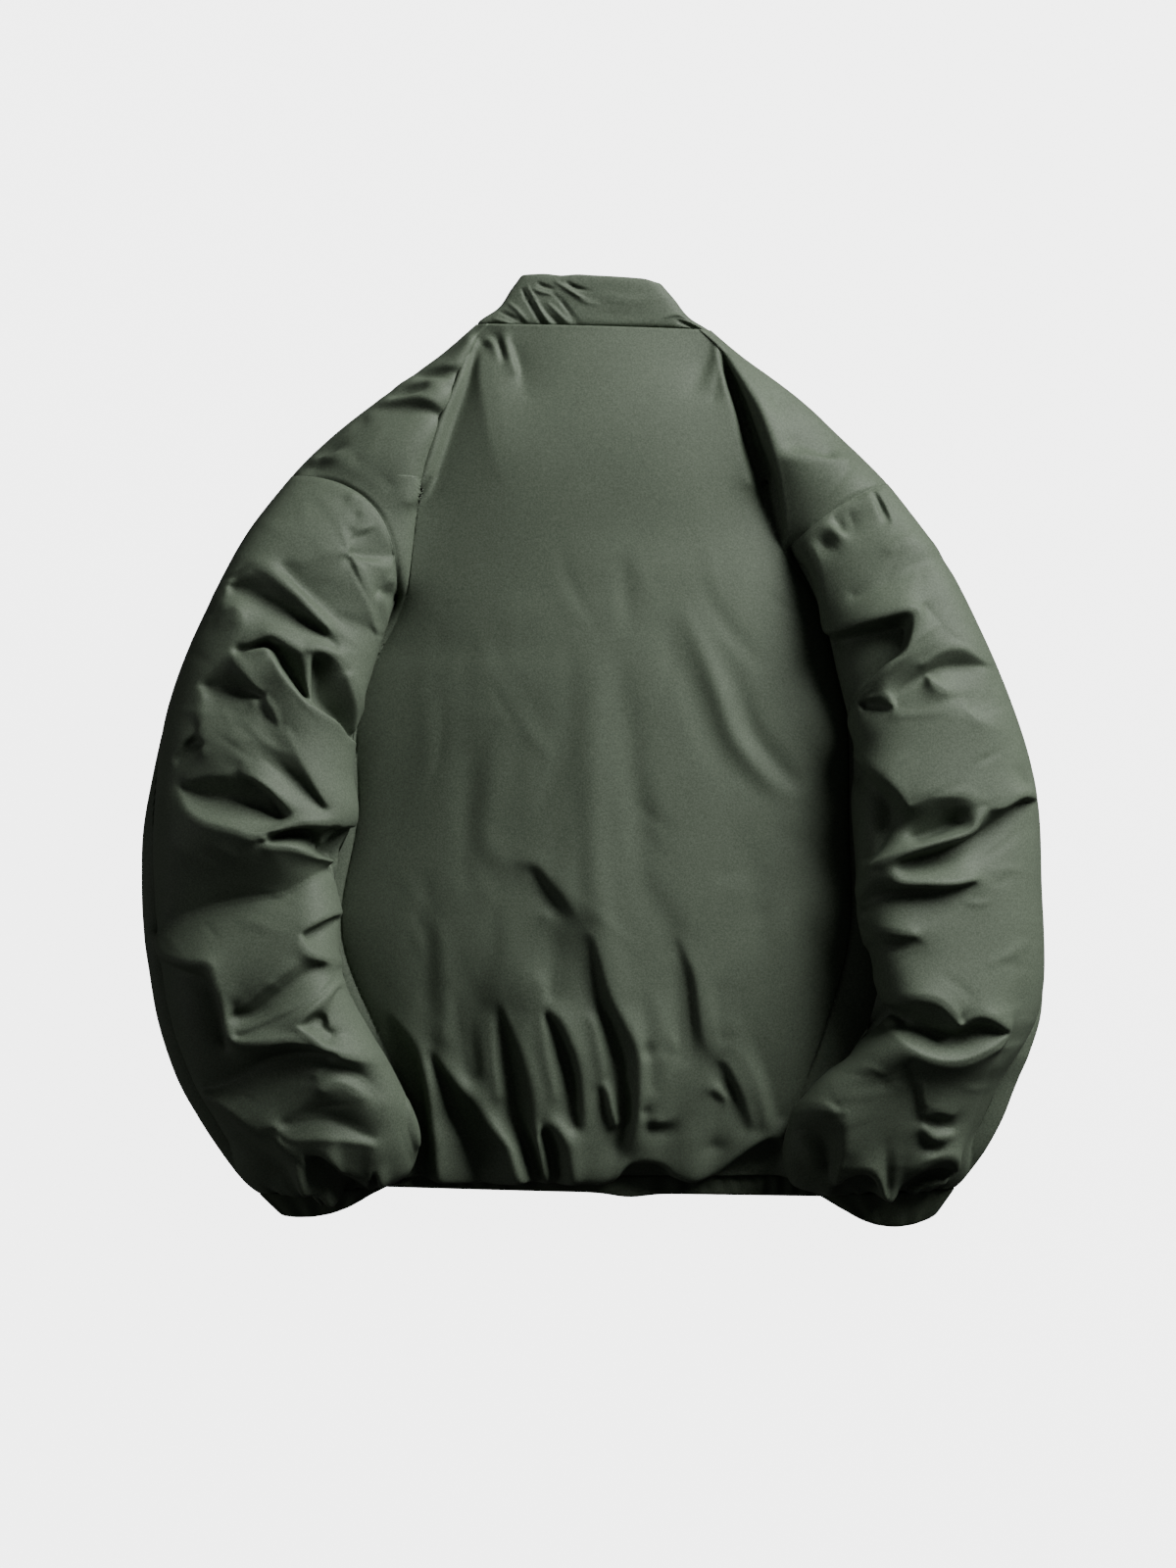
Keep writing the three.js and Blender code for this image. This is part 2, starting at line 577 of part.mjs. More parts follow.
// The pull tab: an eye round the slider's bar and a blade towards the hem
function zipPull() {
  const { y, barZ } = slider;
  const eye = solidOf(rod(2.4, -2.6, 2.6, y, barZ, 24));
  const blade = solidOf(block(-2.6, 2.6, y - 26, y - 1, barZ - 0.8, barZ + 0.8));
  const grip = solidOf(block(-3.6, 3.6, y - 26, y - 12, barZ - 0.8, barZ + 0.8));
  const hole = solidOf(rod(1.25, -3, 3, y, barZ, 24));
  return meshOf("zip_pull", geometryOf(eye.add(blade).add(grip).subtract(hole)), METAL);
}

// ---- Jacket ----

const jacket = new THREE.Group();
const sections = bodySections();
jacket.add(backPanel(sections), collar(), hemBand());
for (const side of ["left", "right"])
  jacket.add(frontPanel(sections, side), ...sleevePanels(side), cuff(side), zipTape(side));
jacket.add(zipChain(), zipBox(), zipSlider(), zipPull());

export default jacket;
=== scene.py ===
"""A boxy down jacket lying on its front: padded panels, gathered hem and cuffs, a closed front zip."""
import math

import bpy
import numpy as np
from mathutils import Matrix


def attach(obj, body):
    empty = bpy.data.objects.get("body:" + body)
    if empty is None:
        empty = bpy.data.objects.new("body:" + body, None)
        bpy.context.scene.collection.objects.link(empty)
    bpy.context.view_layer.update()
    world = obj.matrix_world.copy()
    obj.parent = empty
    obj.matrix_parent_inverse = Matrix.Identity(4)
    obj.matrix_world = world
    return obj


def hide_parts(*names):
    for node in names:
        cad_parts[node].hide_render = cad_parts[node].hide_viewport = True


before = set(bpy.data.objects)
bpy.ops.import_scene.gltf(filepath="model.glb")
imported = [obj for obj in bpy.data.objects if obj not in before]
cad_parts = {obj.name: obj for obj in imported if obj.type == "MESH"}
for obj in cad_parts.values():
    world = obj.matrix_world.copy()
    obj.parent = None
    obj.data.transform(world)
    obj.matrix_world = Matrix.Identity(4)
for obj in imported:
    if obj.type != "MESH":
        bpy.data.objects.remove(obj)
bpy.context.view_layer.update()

# Sizes in millimetres
METRE = 0.001  # one millimetre
SEAM = 0.3  # between two sewn pieces
TUCK = 0.6  # how far the body's edge runs under a sleeve's
FOLD_IN = 7.0  # least distance from the armhole seam to the valley beside it
HOLLOW = 1.0  # half of the space between two linings that lie on each other
EDGE = 2.0  # thickness of a panel at its seams
SHELF = 34.0  # height at which a sleeve lies on the body's side
GROUND = 1.2  # height of a sleeve's underside beyond the body
SAG_RUN = 34.0  # length over which a sleeve comes down from the body's side to the ground
NECK_SEAM = 338.8  # y of the back neck seam
NECK_DROP = 50.0  # how much lower the front neckline is at its middle
NECK_HALF = 90.0  # half of its width
COLLAR_HEIGHT = 41.0
BAND_TOP = 11.5  # height of the hem's casing
BAND_BOTTOM = -347.0  # y of its lower edge
ZIP_EDGE = 10.0  # x at which the fronts end beside the zip
ZIP_LOW, ZIP_HIGH = -339.0, 318.0  # y of the lowest and the highest teeth

# How the down and the creases act
PUFF = 0.005  # how strongly the down bulges the shell between creases, per millimetre
SLACK = 34.0  # distance over which the shell falls back to its panel's own surface
GRIP = 30  # how firmly a crease holds the shell, against its pull to its neighbours
NARROW = 4  # a crease of at least this width fades out over its last third
SPREAD = 2.2  # widths of a crease beyond which it is not felt
PINNED = 300.0  # how firmly the back is pinned beyond its edges
# Seeds of the folds that are drawn at random, and how strongly each sleeve's end is gathered
SEEDS = {"left": 4, "right": 5, "back": 8, "fronts": 5, "hem": 6}
GATHERED = {"left": 1.0, "right": 1.1}

# Columns of the tables of the body's sections; the last two are added when they are divided
LEFT_X, LEFT_Y, LEFT_FOLD, RIGHT_FOLD, RIGHT_X, RIGHT_Y, MID_EDGE = range(7)
LOFT_EDGE, SEAM_LIFT, LEVEL = 9, 13, 14
# Columns of the tables of the sleeves' sections, after their four of places
BOW, MID_OUTER, MID_INNER, ARCH, RISE = range(4, 9)

# Sections of the body from hem to underarm: edges in plan, the valleys beside sleeves and shoulders, heights
BODY = np.array([
    # leftX leftY leftFold rightFold rightX rightY midEdge midFold midCentre loftEdge loftFold sideArch centreArch
    [-236, -331, -150, 158, 239, -334, 6.5, 9, 16, 5, 5, 0, 2],
    [-248, -318, -137, 150, 251, -321, 9, 11, 16, EDGE, 9, 3, 10],
    [-268, -285, -140, 157, 270, -287, 13, 15, 17, EDGE, 12, 5, 20],
    [-284, -220, -169, 182, 285, -220, 15, 17, 17, EDGE, 12, 6, 30],
    [-290, -140, -198, 203, 290, -140, 15, 17, 18, EDGE, 12, 6, 34],
    [-291, -50, -185, 202, 291, -50, 15, 17, 18, EDGE, 12, 6, 34],
    [-288, 20, -186, 201, 288, 25, 15, 17, 18, EDGE, 12, 6, 32],
    [-254, 62, -176, 190, 256, 80, 16, 18, 18, EDGE, 12, 4, 30],
    [-200, 88, -162, 176, 200, 124, 17, 21, 18, EDGE, 11, 1, 28],
    [-165, 117, -146, 149, 167, 156, 17, 25, 18, EDGE, 11, 0.5, 27],
])
# The same from the inner ends of the armhole seams up to the neck
SHOULDERS = np.array([
    [-153.8, 124.8, -146, 148, 155.4, 162.8, 32, 26, 18, EDGE, 11, 1, 24],
    [-238.5, 219.5, -136, 133, 233.7, 213.9, 20, 22, 18, EDGE, 14, 21, 20],
    [-205, 252.7, -124, 121, 194.9, 252.7, 18, 20, 18, EDGE, 14, 18, 16],
    [-165.5, 283.7, -112, 113, 161.6, 283.7, 16, 18, 17, EDGE, 13, 13, 12],
    [-123, 314.7, -100, 104, 120, 314.7, 14, 15, 16, EDGE, 11, 5, 7],
    [-92, 340.5, -82, 84, 94, 335.8, 13, 13, 16, 8, 9, 1, 2],
])
# Sections down each sleeve: outer fold line, inner fold line, bow, heights of its parting surface, arch, rise
SLEEVES = {
    "left": np.array([
        # outerX outerY innerX innerY bow midOuter midInner arch rise
        [-238.5, 219.5, -153.8, 124.8, 33, 20, 32, 8, 22],
        [-270.1, 175.2, -163.5, 95, 20, 21, 45, 10, 30],
        [-294.1, 128.7, -174.0, 60, 12, 22, 50, 14, 36],
        [-316.6, 82.2, -187.5, 18, 6, 23, 52, 16, 40],
        [-336.7, 27.9, -187.5, -14, 3, 24, 52, 18, 42],
        [-349.2, -26.4, -184.8, -48, 0, 24, 52, 18, 42],
        [-354.8, -62, -206.5, -80, 0, 24, 52, 18, 42],
        [-356.1, -98, -201, -101, 0, 24, 52, 18, 41],
        [-355, -133, -197.5, -128, 0, 24, 52, 18, 41],
        [-350.5, -170, -198.5, -165, 0, 24, 52, 18, 40],
        [-343, -212, -186, -198, 0, 24, 51, 17, 39],
        [-329, -255, -160.5, -240, 0, 22, 49, 16, 37],
        [-312, -287, -144, -274, 0, 20, 46, 14, 34],
        [-296, -312, -136.5, -303, -3, 18, 38, 10, 28],
        [-281, -332, -142, -326, -4, 17, 29, 5, 19],
        [-264.7, -347.2, -156.2, -338.7, -2, 17, 20, 0.5, 7],
    ]),
    "right": np.array([
        [233.7, 213.9, 155.4, 162.8, 5, 20, 32, 8, 22],
        [260.8, 175.2, 173, 129, 5, 21, 45, 10, 30],
        [280.9, 144.2, 184, 100, 5, 22, 50, 14, 36],
        [303.4, 97.7, 191.5, 66, 3, 23, 52, 16, 40],
        [324.3, 51.2, 201.5, 26, 3, 24, 52, 18, 42],
        [340.6, 4.7, 208, 2, 0, 24, 52, 18, 42],
        [350, -35, 203, -33, 0, 24, 52, 18, 42],
        [353, -62, 205, -70, 0, 24, 52, 18, 41],
        [354, -103.9, 208, -106, 0, 24, 52, 18, 41],
        [356, -150, 215, -146, 0, 24, 52, 18, 41],
        [356, -185, 226, -182, 0, 24, 52, 18, 40],
        [353.5, -210, 233, -206, 0, 23, 51, 17, 39],
        [345, -237, 205, -234, 0, 22, 50, 17, 38],
        [336, -258.9, 174, -259, 0, 20, 47, 14, 36],
        [325, -288, 155, -288, 0, 19, 43, 12, 32],
        [311, -314, 150, -315, -4, 18, 36, 9, 26],
        [298, -331, 158, -334, -4, 17, 27, 4, 16],
        [287.9, -342.6, 175.5, -346.4, -2, 17, 20, 0.5, 7],
    ]),
}
# Open end of each cuff, in the same columns as far as midInner
CUFF_ENDS = {
    "left": np.array([-246, -366, -177, -349, -7, 9, 18.5]),
    "right": np.array([272, -366, 203, -363, -10, 9, 13]),
}
# Along a sleeve: how far its crown leans to the outer side, and how square its outer and inner edges are
LEAN = ([0, 0.06, 0.14, 0.32, 0.45, 0.6, 0.85, 1], [0, 0.4, 0.38, 0.02, -0.06, -0.16, -0.12, 0])
OUTER_SQUARE = ([0.06, 0.12, 0.3, 0.45], [5.5, 10, 9, 5.5])
INNER_SQUARE = {"left": ([0, 1], [3.4, 3.4]), "right": ([0.2, 0.3, 0.66, 0.74], [3.4, 8, 8, 3.4])}
# Where the strip beyond each sleeve's outer seam begins along it, and its width as a share of the section
OUTER_STRIP = {"left": (0.22, 0.085), "right": (0.55, 0.11)}
# How far the padded hem rolls out over its casing, along the hem
HEM_ROLL = [
    # x roll
    -250, 4, -160, 12, -134, 9, -120, 14, -60, 14, -48, 10, -36, 14, -16, 14, -8, 11, 4, 14,
    16, 11, 26, 2, 56, 2, 68, 8, 78, 13, 88, 9, 98, 1, 140, 1, 156, 8, 170, 12, 245, 5,
]
# How far the sleeves' ends roll out over the cuffs
CUFF_ROLL = {
    "left": [
        # x roll
        -268, 1, -250, 2, -240, 8, -226, 9, -218, 4, -213, 8, -207, 19, -201, 19, -194, 2, -182, 0, -176, 2,
        -172, 8, -164, 7, -160, 1,
    ],
    "right": [
        # x roll
        176, 3, 188, 8, 196, 2, 206, 0, 218, 0, 227, 6, 235, 14, 242, 3, 252, 0, 270, 0, 276, 2,
        284, 1,
    ],
}

# Folds as flat rows: the width that the crease holds, then x, y and the shell's lift at each of its points.
# left and right are on the sleeves, back, swells (the broad soft ones) and shoulders on the back panel.
FOLDS = {
    "left": [
        [1.5, -194, 196, 0, -188, 200, 1.5, -181, 204, 0],
        [1.5, -189, 172, 0, -179, 175, 1.5, -168, 180, 0],
        [1.5, -188, 165, 0, -178, 169, -1.5, -166, 174, 0],
        [1.5, -185, 185, 0, -180, 188, 1.2, -175, 192, 0],
        [1.8, -191, 155, -1, -175, 154, -3, -157, 156, -2],
        [1.8, -192, 152, 1, -175, 147, 3, -157, 144, 1],
        [1.8, -191, 152, 1, -184, 133, 3, -174, 113, 3, -168, 91, 1],
        [1.8, -169, 126, 0, -166, 119, 3, -164, 99, 1],
        [1.6, -168, 128, -1, -161, 125, -3, -153, 123, -2],
        [1.6, -165, 134, 0, -159, 136, 2, -152, 136, 1],
        [2.2, -218, 204, 1, -201, 180, 2, -190, 153, 3],
        [2.2, -230, 149, 2, -192, 155, 4, -178, 130, 4, -166, 97, 1],
        [2.2, -239, 144, 0, -218, 123, -3, -194, 104, -3, -166, 92, 0],
        [2.2, -281, 133, 0, -267, 139, 3, -256, 143, 5, -232, 125, 6, -213, 104, 5, -201, 87, 2],
        [2.2, -280, 129, -2, -264, 124, -5, -240, 110, -5, -209, 95, -4, -200, 84, -1],
        [2.2, -296, 108, 1, -285, 105, 4, -274, 110, 6, -271, 100, 6, -278, 84, 5, -297, 65, 3, -322, 36, 0],
        [2.2, -275, 75, 6, -266, 62, 7, -253, 45, 3],
        [2.2, -299, 51, -4, -282, 49, -6, -266, 48, -6, -253, 44, -1],
        [2.2, -269, 83, 4, -256, 88, 5, -247, 91, 6, -232, 83, 6, -223, 78, 5],
        [2.2, -272, 77, -3, -261, 82, -5, -250, 83, -8, -241, 71, -11, -232, 58, -12, -221, 42, -9],
        [
            2.2, -275, 75, 5, -261, 78, 6, -247, 78, 7, -241, 64, 8, -230, 49, 8, -218, 35, 7, -201, 23, 7,
            -192, 10, 6, -188, 0, 4,
        ],
        [2.2, -221, 78, 4, -220, 58, 1, -219, 38, 1],
        [2.2, -222, 80, 5, -209, 80, 5, -198, 74, 4, -191, 63, 3],
        [2.2, -214, 71, -10, -214, 56, -14, -212, 41, -15, -198, 27, -14, -191, 13, -8],
        [2.2, -191, 63, 5, -185, 39, 6, -185, 16, 3],
        [2.2, -301, 50, 2, -301, 27, 3, -298, 0, 3],
        [2.2, -322, -5, -2, -311, 8, -4, -299, 7, -3],
        [2.2, -304, 23, 1, -316, 6, 2, -327, -10, 1],
        [2.2, -251, 45, 3, -244, 33, 3, -240, 21, 1],
        [2.2, -261, 39, 0, -252, 29, -2, -245, 21, 0],
        [2.2, -270, -5, 3, -265, -15, 4, -251, -26, 6, -228, -45, 4],
        [2.2, -264, -21, -3, -253, -28, -6, -244, -38, -8, -240, -48, -6],
        [2.2, -234, 18, 2, -226, 0, 4, -215, -22, 5, -207, -40, 4],
        [2.2, -253, 0, 0, -232, -19, -3, -209, -41, 0],
        [2.2, -312, -20, 1, -297, -15, 2, -282, -15, 3, -270, -6, 3],
        [2.2, -316, -27, -3, -297, -32, -7, -274, -35, -8, -255, -39, -8, -241, -48, -5],
        [
            2.2, -318, -29, 1, -312, -43, 5, -297, -54, 8, -274, -60, 10, -255, -65, 10, -232, -55, 8,
            -209, -52, 7, -182, -54, 4,
        ],
        [2.2, -250, -64, -6, -232, -61, -11, -218, -63, -13, -212, -74, -11, -206, -80, -8],
        [
            2.2, -255, -67, 6, -249, -71, 7, -232, -72, 7, -217, -78, 7, -205, -84, 7, -200, -91, 6,
            -196, -103, 5, -195, -118, 4,
        ],
        [2.2, -194, -58, -8, -200, -68, -10, -204, -77, -8],
        [2.2, -201, -55, 1, -209, -66, -3, -216, -77, -2],
        [
            2.2, -341, -139, -2, -324, -129, -10, -293, -118, -15, -262, -112, -15, -236, -108, -13,
            -218, -98, -8, -203, -89, -2,
        ],
        [
            2.2, -342, -142, 1, -334, -153, 4, -324, -158, 5, -308, -161, 6, -293, -162, 7, -288, -175, 8,
            -282, -194, 8, -280, -211, 8, -272, -220, 9, -251, -221, 9, -232, -219, 8, -213, -223, 7,
        ],
        [2.2, -335, -164, -4, -316, -171, -6, -298, -179, -8, -291, -202, -10, -287, -225, -12],
        [2.2, -302, -262, -7, -278, -252, -11, -251, -239, -12, -224, -233, -11, -200, -233, -3],
        [2.2, -225, -136, 3, -213, -128, 5, -196, -122, 3],
        [2.2, -222, -140, -5, -213, -137, -8, -201, -129, -6],
        [2.2, -226, -139, 3, -223, -150, 5, -213, -158, 6, -195, -164, 4],
        [2.2, -230, -160, 3, -243, -171, 3, -261, -185, 3, -274, -196, 2],
        [2.2, -274, -201, -1, -259, -200, -4, -236, -183, -5, -213, -164, -3],
        [2.2, -272, -216, 5, -247, -205, 3, -218, -190, 3, -198, -168, 3],
        [2.2, -227, -207, 6, -217, -196, 6, -198, -179, 4],
        [2.2, -221, -209, -2, -210, -205, -4, -204, -217, -4],
        [2.2, -199, -182, 2, -203, -202, 1, -206, -220, 1],
        [2.2, -227, -210, 7, -217, -219, 8, -201, -230, 8, -182, -236, 6, -167, -239, 3],
        [2.2, -213, -248, -1, -198, -243, -3, -178, -252, -3, -162, -271, -1],
        [2.2, -209, -258, 1, -194, -255, 1, -178, -265, 1],
        [2.2, -238, -285, -1, -213, -281, -4, -194, -285, -5, -171, -296, -2],
        [2.2, -243, -292, 4, -232, -298, 5, -201, -298, 5, -171, -303, 3],
        [
            2.2, -302, -265, 1, -282, -275, 4, -261, -290, 5, -245, -288, 5, -241, -300, 6, -228, -310, 5,
            -224, -320, 5,
        ],
        [2.2, -297, -276, -4, -270, -305, -6, -243, -326, -7, -226, -349, -5],
        [1.8, -229, -314, 4, -227, -324, 8, -221, -336, 9, -211, -347, 8, -201, -353, 6],
        [2.2, -218, -308, 5, -209, -307, 6, -198, -315, 7, -185, -324, 7, -176, -329, 5],
        [2.6, -215, -312, -5, -203, -326, -10, -192, -341, -12, -188, -349, -10],
        [2.2, -218, -345, -2, -209, -349, -6, -198, -357, -3],
        [2.2, -172, -326, -4, -172, -332, -7, -168, -340, -5],
        [2.2, -175, -324, 5, -178, -333, 4, -172, -341, 2],
        [2.2, -168, -323, 4, -162, -331, 4, -157, -338, 2],
        [2.2, -149, -272, -1, -146, -294, -4, -139, -320, -3],
        [2.2, -144, -272, 2, -137, -290, 3, -134, -309, 2],
        [3, -235, 203, 2, -253, 178, 3, -270, 151, 4, -284, 125, 4, -296, 96, 2],
    ],
    "right": [
        [2.2, 171, 162, 1, 178, 146, 3, 183, 123, 5, 187, 98, 7],
        [2.2, 162, 146, -4, 171, 123, -7, 179, 96, -9, 182, 65, -10, 188, 42, -9],
        [2.2, 230, 157, 2, 249, 165, 3, 269, 160, 1],
        [2.2, 204, 123, 0, 230, 134, -2, 257, 147, -3, 275, 150, -1],
        [2.2, 188, 97, 7, 204, 100, 7, 223, 105, 8, 242, 110, 9, 250, 108, 8],
        [
            2.2, 190, 87, -8, 207, 90, -11, 226, 94, -12, 240, 96, -10, 236, 79, -11, 223, 69, -12,
            210, 56, -11, 200, 41, -7,
        ],
        [2.2, 250, 108, 8, 247, 92, 7, 242, 78, 7, 230, 68, 7, 219, 56, 6, 210, 42, 5],
        [2.2, 257, 113, 1, 266, 105, 2, 274, 94, 3, 291, 82, 3, 305, 71, 1],
        [2.2, 253, 69, 2, 261, 76, 3, 272, 81, 4, 286, 81, 4, 305, 71, 1],
        [2.2, 233, 34, -1, 240, 49, -4, 255, 58, -5, 268, 64, -5, 284, 66, -5, 305, 65, -1],
        [2.2, 210, 42, 4, 219, 45, 3, 225, 45, 3, 233, 36, 1],
        [2.2, 211, 39, -2, 223, 36, -3, 233, 33, 0],
        [2.2, 258, 59, 1, 263, 52, 2, 271, 47, 2],
        [2.2, 291, 35, -1, 303, 41, -2, 317, 41, -1],
        [2.2, 285, 33, 1, 295, 24, 3, 310, 17, 2],
        [2.2, 322, 8, 1, 326, -7, 2, 335, -22, 1],
        [2.2, 209, 41, 5, 205, 23, 4, 206, 3, 5, 217, -8, 6, 229, -20, 7, 239, -32, 7, 243, -40, 6],
        [2.2, 202, -10, -7, 215, -28, -10, 228, -43, -12, 223, -65, -11, 211, -80, -8],
        [2.2, 243, -39, 6, 257, -32, 7, 276, -31, 7, 291, -34, 7, 300, -40, 6],
        [2.2, 248, -65, -9, 263, -61, -10, 275, -55, -9, 283, -51, -6],
        [2.2, 218, -87, 5, 238, -77, 8, 261, -69, 9, 287, -61, 9, 295, -49, 8, 300, -40, 6],
        [2.2, 300, -40, 6, 314, -40, 6, 330, -32, 7, 343, -35, 3],
        [2.2, 346, -39, -1, 332, -41, -7, 314, -54, -10, 291, -68, -11, 268, -78, -11, 253, -82, -10, 239, -85, -4],
        [2.2, 221, -89, 4, 217, -95, 4, 207, -112, 4],
        [2.2, 233, -94, 5, 238, -99, 6, 257, -100, 7, 276, -100, 7, 292, -97, 4],
        [2.2, 213, -116, -2, 226, -110, -5, 249, -107, -6, 272, -107, -5, 293, -102, -1],
        [2.2, 207, -116, 4, 212, -129, 6, 213, -149, 5, 214, -164, 5, 221, -175, 6, 229, -188, 6],
        [2.2, 197, -122, -5, 200, -149, -8, 200, -179, -9, 193, -213, -9],
        [2.2, 213, -133, 3, 230, -136, 3, 247, -139, 3],
        [2.2, 219, -151, -1, 234, -149, -3, 249, -146, -1],
        [2.2, 229, -189, 6, 240, -187, 7, 253, -186, 8, 265, -189, 8, 274, -197, 8, 281, -207, 7],
        [2.2, 281, -204, 4, 295, -199, 5, 307, -203, 6, 319, -213, 4],
        [
            2.2, 236, -204, -7, 249, -211, -10, 265, -217, -11, 281, -221, -11, 291, -216, -8, 303, -213, -5,
            317, -215, 0,
        ],
        [2.2, 230, -213, 2, 240, -225, 5, 261, -234, 7, 284, -235, 7, 307, -226, 6, 320, -216, 3],
        [2.2, 167, -255, 3, 173, -244, 5, 181, -237, 6, 194, -235, 7, 211, -225, 7, 226, -213, 6, 238, -205, 3],
        [2.2, 178, -230, -10, 194, -226, -10, 211, -214, -10, 226, -199, -9],
        [2.2, 243, -240, -1, 247, -259, -3, 251, -283, -3],
        [2.2, 255, -252, 1, 259, -271, 2],
        [2.2, 188, -242, 2, 187, -257, 3, 190, -271, 3, 196, -282, 4],
        [2.2, 155, -283, 3, 169, -275, 4, 184, -274, 5, 194, -278, 5, 197, -292, 5, 196, -313, 5, 191, -328, 4],
        [2.2, 160, -295, -3, 170, -295, -6, 181, -305, -9, 185, -324, -8],
        [2.2, 152, -320, 1, 159, -332, 3, 173, -334, 3, 187, -334, 2],
        [2.2, 258, -278, 1, 266, -274, 3, 278, -278, 2],
        [2.2, 259, -285, -3, 269, -287, -4, 279, -289, -2],
        [2.2, 257, -289, 2, 265, -297, 4, 278, -297, 3],
        [2.2, 254, -297, -1, 259, -304, -2, 267, -306, -1],
        [2.2, 246, -329, 3, 257, -318, 5, 268, -313, 6, 278, -312, 6, 284, -318, 5, 286, -327, 3],
        [2.2, 246, -339, -6, 261, -333, -9, 274, -330, -9, 283, -330, -4],
        [2.2, 225, -359, 2, 246, -349, 3, 265, -339, 3, 280, -335, 2],
        [2.2, 192, -329, 4, 203, -322, 6, 214, -320, 7, 223, -327, 7, 229, -336, 6, 236, -336, 4],
        [2.6, 193, -337, -7, 202, -333, -10, 213, -332, -10, 222, -337, -8],
        [2.2, 312, -240, -1, 307, -263, -2, 301, -286, -3, 294, -309, -3, 284, -332, -2, 257, -356, -2],
        [2.2, 230, -248, -1, 226, -254, -2, 236, -257, -1],
        [2.2, 229, -301, -1, 231, -317, -2, 232, -332, -1],
        [2.2, 333, -179, -1, 331, -202, -2, 322, -225, -2, 310, -244, -1],
        [1.6, 190, 188, -1, 193, 179, -4, 197, 174, -2],
        [1.6, 198, 193, 0, 201, 183, -3, 203, 172, -1],
        [1.6, 178, 168, -1, 182, 163, -3, 188, 160, -1],
        [1.6, 184, 175, 1, 190, 172, 3, 197, 165, 1],
        [1.6, 214, 204, 1, 219, 194, 2, 223, 181, 1],
        [1.6, 224, 205, 1, 230, 190, 2, 236, 175, 1],
        [1.6, 219, 203, -1, 225, 192, -2, 229, 180, 0],
    ],
    "back": [
        [2.2, -155, -205, 2, -137, -226, 5, -129, -253, 6, -125, -280, 6, -122, -311, 6, -121, -339, 4],
        [2.2, -158, -209, 0, -147, -232, -5, -139, -257, -8, -135, -287, -9, -135, -318, -9, -139, -339, -8],
        [
            2.2, -123, -234, 1, -112, -248, 4, -99, -263, 6, -90, -271, 6, -80, -286, 7, -68, -301, 8,
            -58, -317, 9, -48, -335, 8,
        ],
        [2.2, -125, -237, -1, -116, -257, -5, -109, -280, -8, -101, -303, -10, -91, -322, -10, -80, -339, -9],
        [2.2, -70, -196, 1, -59, -218, 4, -50, -241, 5, -45, -264, 6, -43, -287, 6, -40, -307, 6, -33, -324, 3],
        [2.2, -73, -199, -1, -70, -222, -5, -67, -249, -8, -63, -280, -10, -55, -304, -10, -44, -324, -6],
        [2.2, -41, -289, 3, -32, -287, 5, -23, -295, 6, -17, -307, 7, -13, -322, 7, -10, -339, 5],
        [2.2, -39, -295, -6, -36, -311, -9, -31, -326, -10, -27, -340, -8],
        [2.2, -37, -198, 1, -24, -207, 4, -16, -224, 5, -10, -241, 5, -7, -264, 4, -6, -291, 2],
        [2.2, -37, -201, -1, -29, -218, -5, -22, -238, -8, -17, -261, -8, -14, -291, -4],
        [
            2.2, -3, -132, 1, 4, -155, 3, 14, -186, 5, 26, -209, 7, 36, -231, 8, 37, -257, 8, 36, -280, 7,
            32, -303, 4, 28, -318, 2,
        ],
        [2.2, -2, -145, -1, 2, -168, -4, 7, -199, -7, 15, -226, -9, 21, -253, -10, 23, -284, -10, 19, -309, -7],
        [2.2, 6, -257, 1, 12, -264, 3, 16, -280, 4, 20, -291, 2],
        [2.2, 6, -260, -1, 8, -276, -3, 13, -290, -3],
        [4, 66, -134, 0, 79, -168, 3, 85, -199, 4, 91, -222, 3, 103, -238, 1],
        [5, 59, -142, 0, 72, -180, -3, 73, -218, -3, 71, -241, -1],
        [5, 40, -228, 1, 50, -231, 2, 65, -223, 1],
        [3, -64, -79, 1, -43, -85, 3, -24, -105, 4, -4, -129, 2],
        [3, -47, -92, -1, -35, -112, -4, -24, -128, -2],
        [3, -37, -126, -1, -29, -153, -4, -30, -188, -2],
        [4, 101, -91, 0, 114, -107, 1.5, 132, -128, 0],
        [3, 98, -236, 1, 108, -245, 3, 117, -261, 4, 123, -276, 3, 129, -295, 1],
        [3, 99, -241, -1, 106, -261, -3, 112, -276, -3, 119, -294, -1],
        [2.2, 91, -262, 1, 97, -263, 2, 105, -271, 1],
        [2.2, 93, -266, -1, 97, -270, -2, 103, -273, -1],
        [2.2, 40, -278, 2, 50, -286, 4, 60, -283, 2],
        [2.2, 45, -293, -2, 57, -295, -3, 68, -292, -1],
        [3, 20, -331, -3, 32, -325, -6, 48, -324, -7, 60, -330, -5],
        [4, 91, -337, -4, 109, -327, -7, 126, -316, -8, 140, -309, -7, 149, -316, -5],
        [2, 14, -336, 2, 22, -321, 4, 36, -317, 4, 50, -318, 4, 63, -324, 3, 68, -337, 2],
        [2, 84, -338, 2, 97, -329, 3, 112, -317, 4, 137, -301, 5, 150, -306, 4, 157, -334, 3],
        [2.2, 101, -218, 1, 116, -238, 3, 129, -261, 4, 139, -295, 4],
        [2.2, 88, -306, -1, 95, -308, -3, 103, -307, -1],
        [2.2, 128, -226, 0, 139, -257, -2, 147, -287, -3],
        [4, -103, -188, 0, -99, -218, -2, -93, -257, -1],
        [4, -114, -180, 0, -119, -211, 2, -121, -230, 1],
        [4, -83, -203, 0, -80, -241, 2, -74, -272, 3],
        [4, -43, -172, 1, -40, -226, 3, -30, -272, 4],
        [4, -3, -203, 0, 3, -234, 2, 6, -253, 2],
        [5, 43, -188, 1, 50, -226, 3, 50, -264, 3],
        [5, 101, -180, 1, 105, -211, 2, 103, -226, 1],
